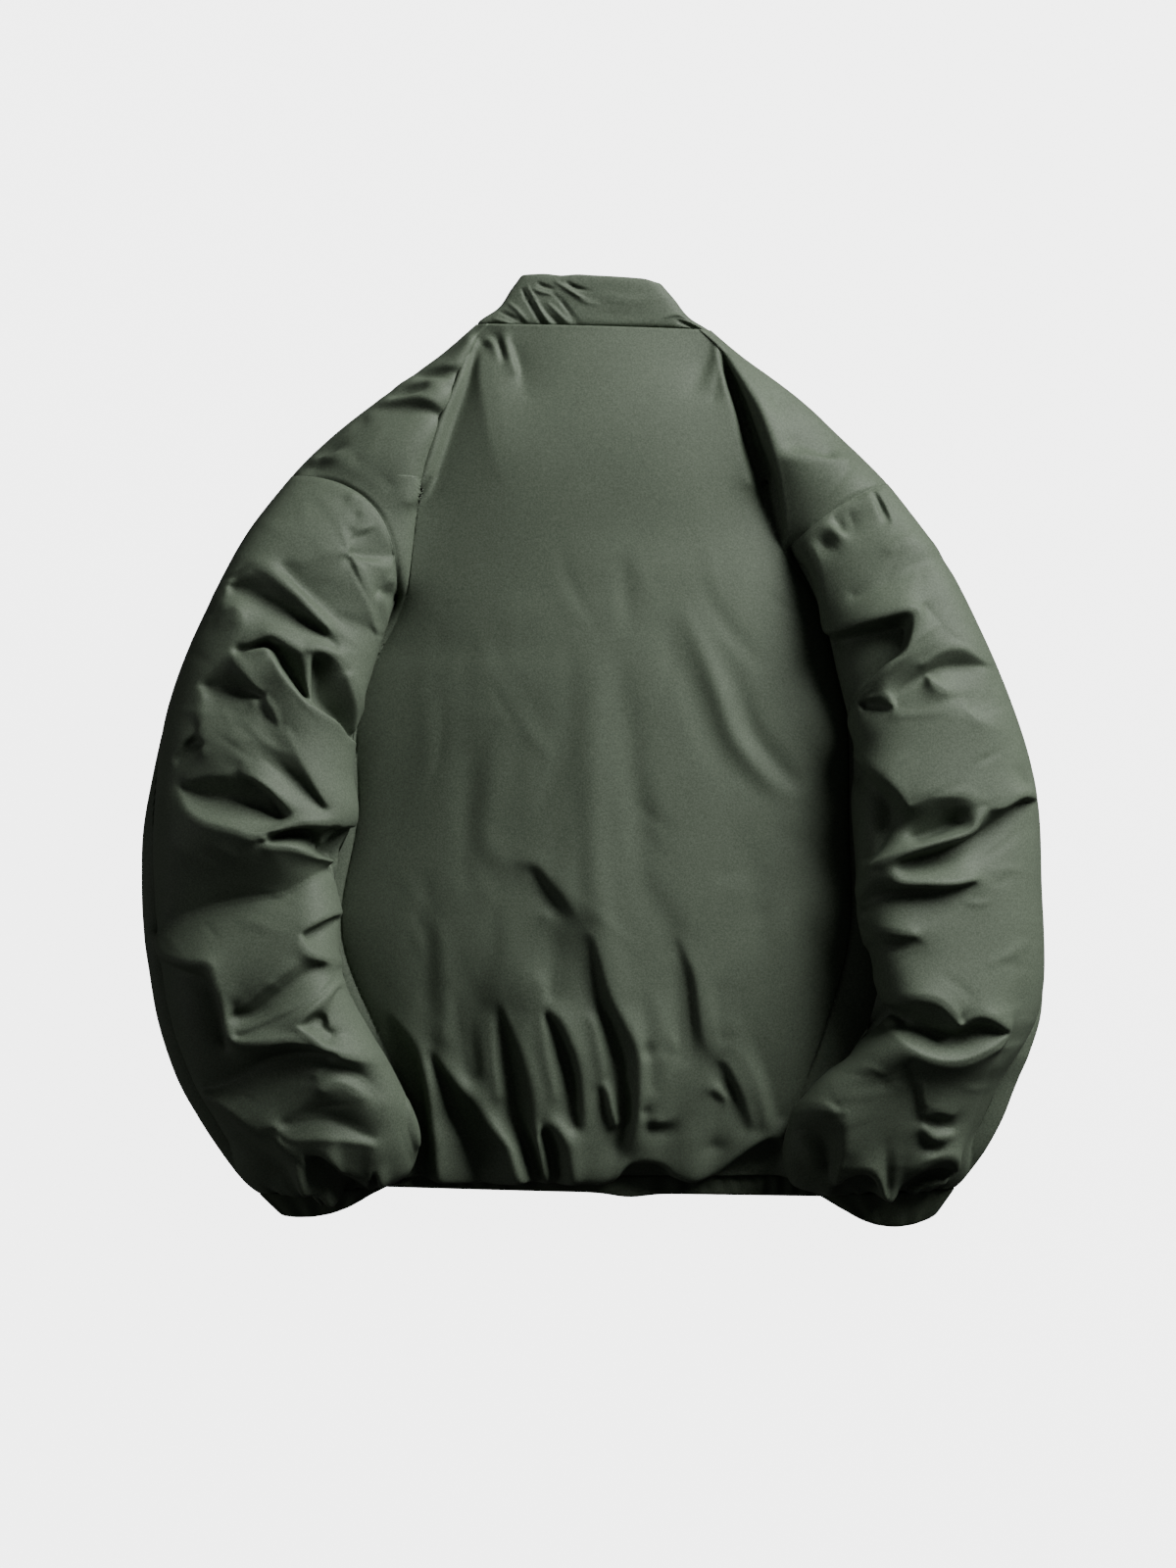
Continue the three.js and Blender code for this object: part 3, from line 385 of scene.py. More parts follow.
        [1.6, -92, 330, -2, -87, 325, -4, -80, 321, -1],
        [1.6, -86, 332, -2, -76, 328, -4, -72, 319, -4, -70, 310, -1],
        [2, -64, 328, -1, -58, 308, -4, -50, 281, -1],
        [2, -70, 329, 1, -65, 315, 2, -60, 300, 1],
        [2, -82, 327, 1, -76, 321, 2, -73, 310, 1],
        [2.5, 93, 322, -1, 86, 304, -3, 77, 285, -1],
        [3, 101, 310, 2, 97, 296, 1, 93, 281, 0],
    ],
    "swells": [
        [7.8, 66, 123, 0.0, 83, 85, 1.5, 98, 46, 2.7, 110, 13, 3.0, 133, -16, 2.4, 159, -40, 0.0],
        [7.8, 93, 96, 0.0, 114, 50, -1.2, 126, 16, -2.4, 150, -15, -2.4, 166, -28, 0.0],
        [11.7, 51, 111, 0.0, 74, 58, -1.8, 91, 12, -1.8, 112, -34, 0.0],
        [7.8, 83, 138, 0.0, 104, 100, -1.2, 139, 62, 0.0],
        [7.8, 23, 157, 0.0, 26, 127, -1.2, 29, 88, 0.0],
        [11.7, 2, 96, 0.0, 0, 20, 1.8, 0, -65, 2.4, 5, -126, 2.4, 19, -179, 1.2],
        [11.7, 19, 88, 0.0, 28, 20, -1.8, 36, -49, -2.4, 39, -103, -1.2, 45, -149, 0.0],
        [10.4, 36, -91, 0.0, 55, -126, -1.2, 66, -149, -1.2],
        [11.7, -88, 31, 0.0, -95, -26, -1.8, -99, -80, -1.2, -95, -107, 0.0],
        [11.7, -73, 20, 0.0, -78, -26, 1.2, -82, -68, 1.5, -56, -88, 0.6],
        [9.1, -130, -88, 0.0, -128, -141, -1.5, -127, -187, -1.5, -128, -218, 0.0],
        [9.1, -119, -126, 0.0, -117, -172, 1.5, -116, -218, 0.6],
        [10.4, -95, -149, 0.0, -88, -195, -1.8, -85, -233, -0.6],
        [15.6, -133, 96, 0.0, -148, 4, -0.6, -152, -88, 0.0],
        [13.0, -64, -126, 0.0, -56, -179, 1.2, -58, -202, 0.0],
        [13.0, 108, -49, 0.0, 127, -103, -1.2, 131, -164, 0.0],
        [13.0, 135, -103, 0.0, 150, -149, 1.2, 146, -210, 0.0],
    ],
    "shoulders": [
        [2.2, -95, 329, 3, -103, 296, 6, -115, 266, 8, -124, 236, 8, -133, 212, 7, -146, 197, 5],
        [2.2, -91, 325, -2, -99, 290, -4, -108, 262, -5, -117, 233, -5, -126, 208, -4, -138, 191, -2],
        [5, -87, 315, 1, -80, 281, 2, -73, 243, 2, -66, 212, 1],
        [2.2, -172, 276, 0, -156, 279, 3, -137, 280, 4, -124, 276, 4, -118, 268, 3],
        [2.2, -170, 272, -2, -153, 272, -4, -135, 272, -4, -121, 267, -1],
        [2.2, -160, 285, 0, -147, 292, 3, -133, 292, 3],
        [2.2, -159, 280, -1, -146, 284, -4, -132, 289, -1],
        [2.2, -137, 301, 1, -122, 306, 3, -109, 306, 3],
        [2.2, -136, 298, -2, -120, 299, -4, -109, 302, -1],
        [2.2, -137, 294, 2, -126, 293, 3, -115, 290, 1],
        [2, -190, 256, -1, -182, 262, -3, -176, 267, -1],
        [2, -216, 232, -1, -205, 239, -4, -192, 246, -1],
        [2, -225, 220, -1, -216, 225, -4, -206, 228, -1],
        [2, -221, 229, 1, -212, 233, 3, -204, 233, 2],
        [3, -202, 235, 2, -183, 223, 2, -160, 210, 1],
        [3, -164, 250, 1, -173, 235, 2, -186, 227, 1],
        [2, -199, 213, 0, -183, 200, 1, -168, 181, 1],
        [2.2, 98, 321, 2, 103, 292, 3, 110, 266, 4, 114, 239, 3, 122, 212, 2],
        [3, 102, 316, -3, 114, 281, -9, 126, 246, -12, 138, 216, -12, 149, 171, -7],
        [2.2, 106, 313, 2, 120, 292, 5, 134, 266, 7, 145, 233, 6, 149, 212, 1, 152, 189, -1, 154, 166, -1],
        [2.2, 146, 232, 6, 170, 229, 9, 198, 226, 11],
        [2.2, 198, 223, 10, 188, 209, 8, 176, 194, 5, 165, 180, 2, 156, 167, -1],
        [3, 157, 243, 1, 170, 241, 2, 185, 233, 2],
        [4, 143, 281, 0, 162, 266, 3, 189, 246, 1],
    ],
    "collar": [
        [1.6, -56, 370, -1, -52, 361, -4, -45, 349, -4, -40, 341, -5, -36, 334, -2],
        [1.6, -52, 372, 1, -46, 361, 3, -40, 350, 4, -33, 340, 5, -29, 334, 2],
        [1.6, -42, 358, 0, -35, 349, -2, -27, 341, -4, -24, 334, -1],
        [1.6, -37, 359, 0, -29, 351, 3, -20, 342, 3, -14, 335, 1],
        [1.6, -32, 366, 0, -24, 358, -3, -16, 347, -3, -9, 336, -1],
        [1.6, -21, 374, -1, -14, 370, -5, -4, 367, -1],
        [1.6, -30, 375, 1, -21, 369, 3, -10, 362, 4, 0, 355, 1],
        [1.6, -45, 374, 0, -39, 371, -4, -30, 368, -1],
        [1.6, -49, 370, 0, -41, 366, 3, -32, 364, 1],
        [1.6, -84, 341, -2, -74, 339, -6, -62, 337, -2],
        [1.6, -79, 345, 1, -69, 342, 4, -57, 338, 1],
        [1.6, -74, 351, -1, -65, 347, -4, -55, 341, -1],
        [1.6, -68, 359, 0, -60, 352, 3, -51, 342, 1],
        [1.6, -62, 348, 0, -55, 342, -3, -48, 335, -1],
        [1.6, 67, 343, -2, 76, 340, -6, 87, 335, -2],
        [1.6, 64, 338, 1, 74, 336, 4, 84, 333, 1],
        [1.6, 55, 345, 0, 67, 348, 3, 78, 345, 1],
        [5, -4, 367, 0, 28, 359, 1.4, 62, 364, 0],
        [5, -10, 353, 0, 21, 347, -1, 56, 350, 0],
    ],
}


# ---- Curves and fields ----


def mix(a, b, t):
    """From a at t = 0 to b at t = 1."""
    return a + (b - a) * t


def smooth(t):
    """0 below 0, 1 above 1, and an S curve between."""
    t = np.clip(t, 0, 1)
    return t * t * (3 - 2 * t)


def dome(w, outer=2.8, inner=2.8):
    """Crown of a padded section, the root of 1 - |2w - 1| ** p: upright at w = 0 and 1, flat in the middle.

    The power p is outer up to the middle and inner beyond it, and a greater one is squarer.
    """
    return np.sqrt(np.maximum(0, 1 - np.abs(2 * w - 1) ** np.where(w < 0.5, outer, inner)))


def spline(rows, t):
    """Catmull-Rom curve through a table's rows at the fractional row numbers t, each column on its own."""
    t = np.asarray(t, float)
    i = np.clip(np.floor(t).astype(int), 0, len(rows) - 2)
    f = (t - i)[..., None]
    a, b, c, d = (rows[np.clip(i + k, 0, len(rows) - 1)] for k in (-1, 0, 1, 2))
    return b + 0.5 * f * (c - a + f * (2 * a - 5 * b + 4 * c - d + f * (3 * (b - c) + d - a)))


def even_steps(x, y, count):
    """Parameters from 0 to 1 at which the curve x, y, given at even parameters, is cut into equal lengths."""
    run = np.concatenate([[0], np.cumsum(np.hypot(np.diff(x), np.diff(y)))])
    return np.interp(np.linspace(0, run[-1], count), run, np.linspace(0, 1, len(x)))


def beside(x, y, fold, count):
    """Which points of the grids x and y lie near a fold, and for each its place on the fold's curve.

    That is its squared distance from the nearest of count points of the curve, that point's share
    of the way along, and the fold's lift there.
    """
    points = np.reshape(fold[1:], (-1, 3)).astype(float)
    t = np.linspace(0, 1, count)
    line_x, line_y, lift = spline(points, t * (len(points) - 1)).T
    reach = SPREAD * fold[0]
    near = (x > line_x.min() - reach) & (x < line_x.max() + reach)
    near &= (y > line_y.min() - reach) & (y < line_y.max() + reach)
    away = (x[near][:, None] - line_x) ** 2 + (y[near][:, None] - line_y) ** 2
    nearest = away.argmin(axis=1)
    return near, away[np.arange(len(away)), nearest], t[nearest], lift[nearest]


def bell_mean(values, reach, width, **edge):
    """Values at even steps, each replaced by its neighbours' mean under a bell cut off at reach."""
    bell = np.exp(-((np.arange(-reach, reach + 1) / width) ** 2))
    return np.convolve(np.pad(values, reach, **edge), bell / bell.sum(), "valid")


def swells(x, y, folds):
    """Broad soft folds: each adds its lift, which runs along its curve, as a bell across the curve."""
    total = np.zeros_like(x)
    for fold in folds:
        near, away, _, lift = beside(x, y, fold, 60)
        total[near] += lift * np.exp(-away / fold[0] ** 2)
    return total


def strewn(seed, count, box, source, size, lift):
    """Rows of small soft folds strewn over a box of left, right, low and high.

    Each runs away from the point source, turned at random by some 25 degrees and slightly bent.
    size gives the least and most of half its length, then of its width, and its lift is 0.4 to 1
    of lift, up or down.
    """
    draw = np.random.default_rng(seed)
    x, y = draw.uniform(box[0], box[1], count), draw.uniform(box[2], box[3], count)
    turn = np.arctan2(y - source[1], x - source[0]) + draw.normal(0, 0.42, count)
    half, width = draw.uniform(size[0], size[1], count), draw.uniform(size[2], size[3], count)
    bend = draw.normal(0, 0.12, count) * half
    rise = draw.uniform(0.4, 1, count) * draw.choice([-lift, lift], count)
    u, v = np.cos(turn), np.sin(turn)
    start = [x - half * u, y - half * v, 0 * x]
    middle = [x - bend * v, y + bend * u, rise]
    return np.stack([width, *start, *middle, x + half * u, y + half * v, 0 * x], axis=1)


def creases(x, y, folds, scale=1.0):
    """How firmly, and at what height, the folds hold each point of the grids x and y.

    A fold is a curve through its points, and its lift runs through their values. It holds what
    lies within about its width. Over the last tenth at either end a narrow one lets go, down to
    0.12 of its grip, and a wide one over the last third, down to nothing.
    """
    hold = np.zeros_like(x)
    pull = np.zeros_like(x)
    for fold in folds:
        width = fold[0]
        near, away, along, lift = beside(x, y, fold, min(20 * (len(fold) // 3), 160))
        least, fade = (0.12, 0.1) if width < NARROW else (0, 0.35)
        grip = least + 0.88 * smooth(np.minimum(along, 1 - along) / fade)
        weight = GRIP * grip * np.exp(-2 * away / width**2)
        hold[near] += weight
        pull[near] += weight * lift * scale
    return hold, pull


def taut(shell, hold, pull, puff=PUFF, slack=SLACK, rounds=260, held=0, pins=0):
    """How far a taut shell stands off the grid of points shell: its free bulge plus what the creases add.

    The down pushes with a fifth of its strength in the second. The rim, and the points at which
    pins is not 0, keep the heights in held.
    """
    held, pins = held + 0 * hold, pins + 0 * hold
    free = relax(shell, pins, pins * held, puff, slack, rounds, held)
    return free + relax(shell, hold + pins, pull, puff / 5, slack, rounds, 0 * held)


def relax(shell, hold, pull, puff, slack, rounds, held):
    """The balanced height of a shell held by its creases.

    Every inner point is drawn to its four neighbours, more strongly the closer they are, pushed
    out by the down, drawn to each crease as firmly as that holds it, and weakly back to the
    panel's own surface over the distance slack. The rim keeps the heights in held. It is solved
    by conjugate gradients.
    """
    edge = held.copy()
    edge[1:-1, 1:-1] = 0
    across = np.linalg.norm(np.diff(shell, axis=1), axis=2).clip(0.2)
    along = np.linalg.norm(np.diff(shell, axis=0), axis=2).clip(0.2)
    wide = (across[1:-1, :-1] + across[1:-1, 1:]) / 2
    long = (along[:-1, 1:-1] + along[1:, 1:-1]) / 2
    beside = (along[:-1] + along[1:]) / 2
    beside = (beside[:, :-1] + beside[:, 1:]) / 2 / across[1:-1]
    before = (across[:, :-1] + across[:, 1:]) / 2
    before = (before[:-1] + before[1:]) / 2 / along[:, 1:-1]
    area = wide * long
    weight = hold[1:-1, 1:-1] + area / slack**2
    diagonal = weight + beside[:, :-1] + beside[:, 1:] + before[:-1] + before[1:]

    def drawn(full):
        """What the four neighbours of each inner point add up to, each times its tie."""
        sides = beside[:, :-1] * full[1:-1, :-2] + beside[:, 1:] * full[1:-1, 2:]
        return sides + before[:-1] * full[:-2, 1:-1] + before[1:] * full[2:, 1:-1]

    right = pull[1:-1, 1:-1] + puff * area + drawn(edge)
    v = right / diagonal
    r = right - diagonal * v + drawn(np.pad(v, 1))
    z = r / diagonal
    p = z.copy()
    rz = (r * z).sum()
    for _ in range(rounds):
        q = diagonal * p - drawn(np.pad(p, 1))
        alpha = rz / (p * q).sum()
        v += alpha * p
        r -= alpha * q
        z = r / diagonal
        rz, old = (r * z).sum(), rz
        p = z + (rz / old) * p
        if rz < 1e-8:
            break
    return np.pad(v, 1) + edge


def dents(x, y, folds):
    """The folds' lift alone, each a bell across its crease, for a piece too narrow to be drawn taut."""
    hold, pull = creases(x, y, folds)
    return pull / (GRIP + hold)


def blur(v, rounds=1):
    """Each round replaces a point by half of itself and half of its four neighbours' mean, rim kept."""
    for _ in range(rounds):
        inner = v[1:-1, 1:-1] * 0.5
        inner += (v[:-2, 1:-1] + v[2:, 1:-1] + v[1:-1, :-2] + v[1:-1, 2:]) * 0.125
        v = v.copy()
        v[1:-1, 1:-1] = inner
    return v


def normals(points, up=1):
    """Unit normals of a grid of points, turned so that they point up (or down) on the whole."""
    n = np.cross(np.gradient(points, axis=0), np.gradient(points, axis=1))
    n /= np.maximum(np.linalg.norm(n, axis=2, keepdims=True), 1e-9)
    return n if n[..., 2].sum() * up > 0 else -n


# ---- Meshes ----


def put_mesh(name, points, quads, tris):
    """A mesh object from points in millimetres, at the origin, shaded smooth, its faces turned outwards."""
    quads = np.asarray(quads, np.int32).reshape(-1, 4)
    tris = np.asarray(tris, np.int32).reshape(-1, 3)
    split = np.concatenate([quads[:, [0, 1, 2]], quads[:, [0, 2, 3]], tris])
    a, b, c = (points[split[:, k]] for k in range(3))
    if np.einsum("ij,ij->i", a, np.cross(b, c)).sum() < 0:
        quads, tris = quads[:, ::-1], tris[:, ::-1]
    mesh = bpy.data.meshes.new(name)
    sizes = np.concatenate([np.full(len(quads), 4), np.full(len(tris), 3)])
    mesh.vertices.add(len(points))
    mesh.vertices.foreach_set("co", (points * METRE).astype(np.float32).ravel())
    mesh.loops.add(int(sizes.sum()))
    mesh.loops.foreach_set("vertex_index", np.concatenate([quads.ravel(), tris.ravel()]).astype(np.int32))
    mesh.polygons.add(len(sizes))
    mesh.polygons.foreach_set("loop_start", (np.cumsum(sizes) - sizes).astype(np.int32))
    mesh.update(calc_edges=True)
    mesh.shade_smooth()
    mesh.validate()
    piece = bpy.data.objects.new(name, mesh)
    bpy.context.scene.collection.objects.link(piece)
    return piece


def grid_quads(rows, columns, start=0, wrap_rows=False, wrap_columns=False):
    """Quads of a grid whose points are numbered row by row from start."""
    i = np.arange(rows if wrap_rows else rows - 1)[:, None]
    j = np.arange(columns if wrap_columns else columns - 1)[None, :]
    at = lambda a, b: start + (a % rows) * columns + (b % columns)
    return np.stack([at(i, j), at(i, j + 1), at(i + 1, j + 1), at(i + 1, j)], axis=-1).reshape(-1, 4)


def rim(rows, columns, start=0):
    """A grid's boundary points in order, and each one's share: its side's number plus how far along it."""
    top = np.arange(columns - 1)
    side = np.arange(rows - 1)
    corner = rows * columns - 1
    at = [top, side * columns + columns - 1, corner - top, (rows - 1 - side) * columns]
    share = [top / (columns - 1), 1 + side / (rows - 1), 2 + top / (columns - 1), 3 + side / (rows - 1)]
    return start + np.concatenate(at), np.concatenate(share)


def stitch(ring_a, share_a, ring_b, share_b):
    """Triangles between two closed rings of points.

    Both rings' edges are taken in order of their middles' shares, and each makes a triangle with
    the point then reached on the other ring.
    """
    middle_a = (share_a + np.append(share_a[1:], 4)) / 2
    middle_b = (share_b + np.append(share_b[1:], 4)) / 2
    order = np.argsort(np.concatenate([middle_a, middle_b]), kind="stable")
    is_a = order < len(ring_a)
    a = np.cumsum(is_a) - is_a
    b = np.cumsum(~is_a) - ~is_a
    at_a, at_b = ring_a[a % len(ring_a)], ring_b[b % len(ring_b)]
    next_a, next_b = ring_a[(a + 1) % len(ring_a)], ring_b[(b + 1) % len(ring_b)]
    from_a = np.stack([at_a, next_a, at_b], axis=1)[is_a]
    from_b = np.stack([at_a, next_b, at_b], axis=1)[~is_a]
    return np.concatenate([from_a, from_b])


def padded_panel(name, shell, lining):
    """A closed panel from a fine grid for its shell and a coarse one for its lining, joined all round."""
    n, m = shell.shape[:2]
    p, q = lining.shape[:2]
    points = np.concatenate([shell.reshape(-1, 3), lining.reshape(-1, 3)])
    inner = grid_quads(p, q, n * m)[:, ::-1]
    joins = stitch(*rim(n, m), *rim(p, q, n * m))[:, ::-1]
    return put_mesh(name, points, np.concatenate([grid_quads(n, m), inner]), joins)


def lining_of(x, y, mid, way, seams=(0, -1)):
    """A panel's inner side, HOLLOW above (way 1) or below (way -1) the parting surface mid.

    Half of a seam is left at its two ends and at the columns in seams.
    """
    z = mid + way * HOLLOW
    z[[0, -1]] -= way * (HOLLOW - SEAM / 2)
    z[:, list(seams)] -= way * (HOLLOW - SEAM / 2)
    return np.stack([x, y, z], axis=-1)


def end_caps(runs, loop):
    """Triangles that close both ends of a tube of runs loops, their middles numbered after its points."""
    k = np.arange(loop)
    first = np.stack([np.full(loop, runs * loop), k, (k + 1) % loop], axis=1)
    last = np.stack([np.full(loop, runs * loop + 1), (k + 1) % loop, k], axis=1)
    last[:, 1:] += (runs - 1) * loop
    return np.concatenate([first, last])


# ---- Sleeves ----


def seam_lift(w):
    """How far the down holds the armhole seam up, between its ends."""
    return 4.6 * (4 * w * (1 - w)) ** 0.7


def seam_groove(x, y, side):
    """Share from 0 to 1 of the armhole seam's groove at each point."""
    along = np.linspace(0, 1, 24)
    seam_x, seam_y = armhole(side, along)
    hold, _ = creases(x, y, [[3.0] + np.stack([seam_x, seam_y, 0 * along], axis=1).ravel().tolist()])
    return np.minimum(hold / GRIP, 1)


def raised(shell, lift, groove, depth):
    """A shell moved out by its lift, less in plan than in height.

    At the armhole seam it moves straight up, and is lower there by depth.
    """
    way = normals(shell) * [0.6, 0.6, 1]
    share = groove[..., None]
    way = way * (1 - share) + np.array([0, 0, 1]) * share
    return shell + way * (lift - depth * groove)[..., None]


def bow(w):
    """Outline of a sleeve's section in plan: a parabola, 1 in the middle and 0 at both folds."""
    return 4 * w * (1 - w)


def sleeve_plan(rows, w):
    """Plan grid of a sleeve: a section for each row, w from 0 on its outer fold to 1 on its inner one.

    Each section is bowed towards the shoulder.
    """
    outer, inner = rows[:, None, 0:2], rows[:, None, 2:4]
    across = inner - outer
    across = across / np.linalg.norm(across, axis=2, keepdims=True)
    offset = bow(w) * rows[:, BOW, None] * np.sign(rows[:, 0, None])
    plan = outer + w[None, :, None] * (inner - outer)
    return plan[..., 0] + across[..., 1] * offset, plan[..., 1] - across[..., 0] * offset


def crown(w, strip=0.0, outer=5.5, inner=3.4):
    """Share of its rise that a sleeve's section reaches at w.

    A low pad of about a quarter of it lies over the whole width, and the main one, a dome as
    square as outer and inner say, begins where the strip beyond the outer seam ends.
    """
    low = np.sqrt(np.maximum(0, 1 - np.abs(2 * w - 1) ** 7))
    return 0.26 * low + 0.74 * dome(np.clip((w - strip) / (1 - strip), 0, 1), outer, inner)


def outer_strip(u, side):
    """Width of the strip beyond a sleeve's outer seam, as a share of its section, along the sleeve."""
    start, width = OUTER_STRIP[side]
    return width * smooth((u - start) / 0.2) * (1 - smooth((u - 0.84) / 0.12))


def sleeve_mid(rows, w):
    """Height of the parting surface between a sleeve's two panels."""
    return mix(rows[:, MID_OUTER, None], rows[:, MID_INNER, None], w) + rows[:, ARCH, None] * 4 * w * (1 - w)


def body_edge(x, y):
    """How far out from the middle the body's hidden edge lies at a given y, on x's side."""
    left = np.interp(y, BODY[:, LEFT_Y], -BODY[:, LEFT_X])
    right = np.interp(y, BODY[:, RIGHT_Y], BODY[:, RIGHT_X])
    return np.where(x < 0, left, right)


def support(x, y):
    """What a sleeve's underside lies on: the body's side, the hem's casing, and the ground beyond them."""
    on_body = smooth(1 - (np.abs(x) - body_edge(x, y) - 24) / SAG_RUN)
    above_hem = smooth((y - BAND_BOTTOM - 6) / 13)
    band = BAND_TOP + 1.2 + 3.5 * smooth((225 - np.abs(x)) / 60)
    over_band = np.maximum(GROUND, band * np.minimum(1, on_body * 1.6))
    return np.maximum(over_band, GROUND + (SHELF - GROUND) * on_body * above_hem)


def rolled(shell, table, end, width):
    """A shell that rolls out towards -Y over the casing at its row end.

    It does so by the table's values at x, rounded off over width, and stands up there by two
    fifths of that.
    """
    level = np.arange(-300, 301.0)
    roll = bell_mean(np.interp(level, *np.reshape(table, (-1, 2)).T), 16, width, mode="edge")
    roll = np.interp(shell[..., 0], level, roll)
    away = np.abs(shell[..., 1] - shell[end, :, 1])
    swell = lambda t: 6.75 * t * (1 - t.clip(0, 1)) ** 2  # at its highest, 1, a third of the way
    return shell + np.stack([0 * roll, -roll * swell(away / 24), 0.4 * roll * swell(away / 52)], axis=-1)


def gathers(u, w):
    """Uneven ribs where the elastic draws the sleeve's end in: a wavering sine that grows towards the cuff."""
    ribs = np.sin(w * 41 + 1.7 * np.sin(w * 11 + 4 * u)) + 0.5 * np.sin(w * 23 + 2)
    return 1.7 * ribs * smooth((u - 0.93) / 0.06) * np.sqrt(np.sin(np.pi * w).clip(0))


def sleeve(side, along=440, across=158):
    """Both padded panels of a sleeve, the back one creased by its table of folds.

    The front one lies on what is below it and is creased in the same places only where it hangs
    free at the side.
    """
    last = len(SLEEVES[side]) - 1
    t = np.linspace(0, 1, 400)
    guide = spline(SLEEVES[side], t * last)
    u = even_steps(guide[:, [0, 2]].mean(axis=1), guide[:, [1, 3]].mean(axis=1), along)
    s = np.linspace(0, 1, 400)
    w = even_steps(150 * s, 40 * crown(s, 0.08), across)  # round a section 150 wide and 40 high
    rows = spline(SLEEVES[side], u * last)
    x, y = sleeve_plan(rows, w)
    mid = sleeve_mid(rows, w)
    strip = outer_strip(u, side)[:, None]
    tables = LEAN, OUTER_SQUARE, INNER_SQUARE[side]
    lean, outer, inner = (np.interp(u, *table)[:, None] for table in tables)
    tilt = 1 + (1 - 2 * w) * lean
    # the strip is raised most of the way to the outer seam's level
    level = 0.7 * np.maximum(sleeve_mid(rows, strip) - mid, 0) * smooth(w / 0.015)
    top = mid + rows[:, RISE, None] * crown(w, strip, outer, inner) * tilt + level + EDGE
    shell = np.stack([x, y, top], axis=-1)
    hold, pull = creases(x, y, FOLDS[side], scale=1.18)
    held = np.zeros_like(x)
    held[0] = seam_lift(w)
    lift = blur(taut(shell, hold, pull, rounds=400, held=held), 1)
    lift += gathers(u[:, None], w[None, :]) * GATHERED[side]
    box = (x.min(), x.max(), y.min(), y.max())
    small = strewn(SEEDS[side], 110, box, source=(-2 * x[0, 0], -400), size=(10, 34, 2.5, 6), lift=1.0)
    lift += swells(x, y, small) * dome(w) * dome(u[:, None])
    shell = raised(shell, lift, seam_groove(x, y, side), depth=1.2)
    shell = rolled(shell, CUFF_ROLL[side], end=-1, width=4)
    shell[..., 2] = np.maximum(shell[..., 2], mid + EDGE)
    coarse_u, coarse_w = np.linspace(0, 1, 40), np.linspace(0, 1, 14)
    rows = spline(SLEEVES[side], coarse_u * last)
    coarse_x, coarse_y = sleeve_plan(rows, coarse_w)
    coarse_mid = sleeve_mid(rows, coarse_w)
    lining = lining_of(coarse_x, coarse_y, coarse_mid, 1)
    back = padded_panel(f"sleeve_back_{side}_shell", shell, lining)

    # the front panel, underneath
    u = np.interp(np.linspace(0, 1, 220), np.linspace(0, 1, along), u)
    w = even_steps(150 * s, 50 * dome(s), 72)
    rows = spline(SLEEVES[side], u * last)
    x, y = sleeve_plan(rows, w)
    mid = sleeve_mid(rows, w)
    lowest = mid - EDGE - 60 * dome(w)
    thinnest = mid - EDGE - 1.5 * dome(w)
    under = np.minimum(np.maximum(lowest, support(x, y)), thinnest)
    shell = np.stack([x, y, blur(under, 6)], axis=-1)
    hold, pull = creases(x, y, FOLDS[side], scale=0.8)
    lift = blur(taut(shell, hold, pull), 2)
    # it is creased only beyond the body's edge and above the ground
    side_only = smooth((np.abs(x) - body_edge(x, y) - 18) / 30) * smooth((shell[..., 2] - 3) / 12)
    shell = shell + normals(shell, -1) * (lift * side_only)[..., None]
    shell[..., 2] = np.maximum(shell[..., 2], GROUND)
    lining = lining_of(coarse_x, coarse_y, coarse_mid, -1)
    return back, padded_panel(f"sleeve_front_{side}_shell", shell, lining)


# ---- Body ----


def armhole(side, w):
    """The body's edge along the armhole seam: it runs a little under the sleeve's first section."""
    row = SLEEVES[side][:1]
    x, y = sleeve_plan(row, w)
    across = row[0, 2:4] - row[0, 0:2]
    inward = np.array([-across[1], across[0]]) / np.linalg.norm(across) * -np.sign(row[0, 0])
    return x[0] - inward[0] * TUCK, y[0] - inward[1] * TUCK


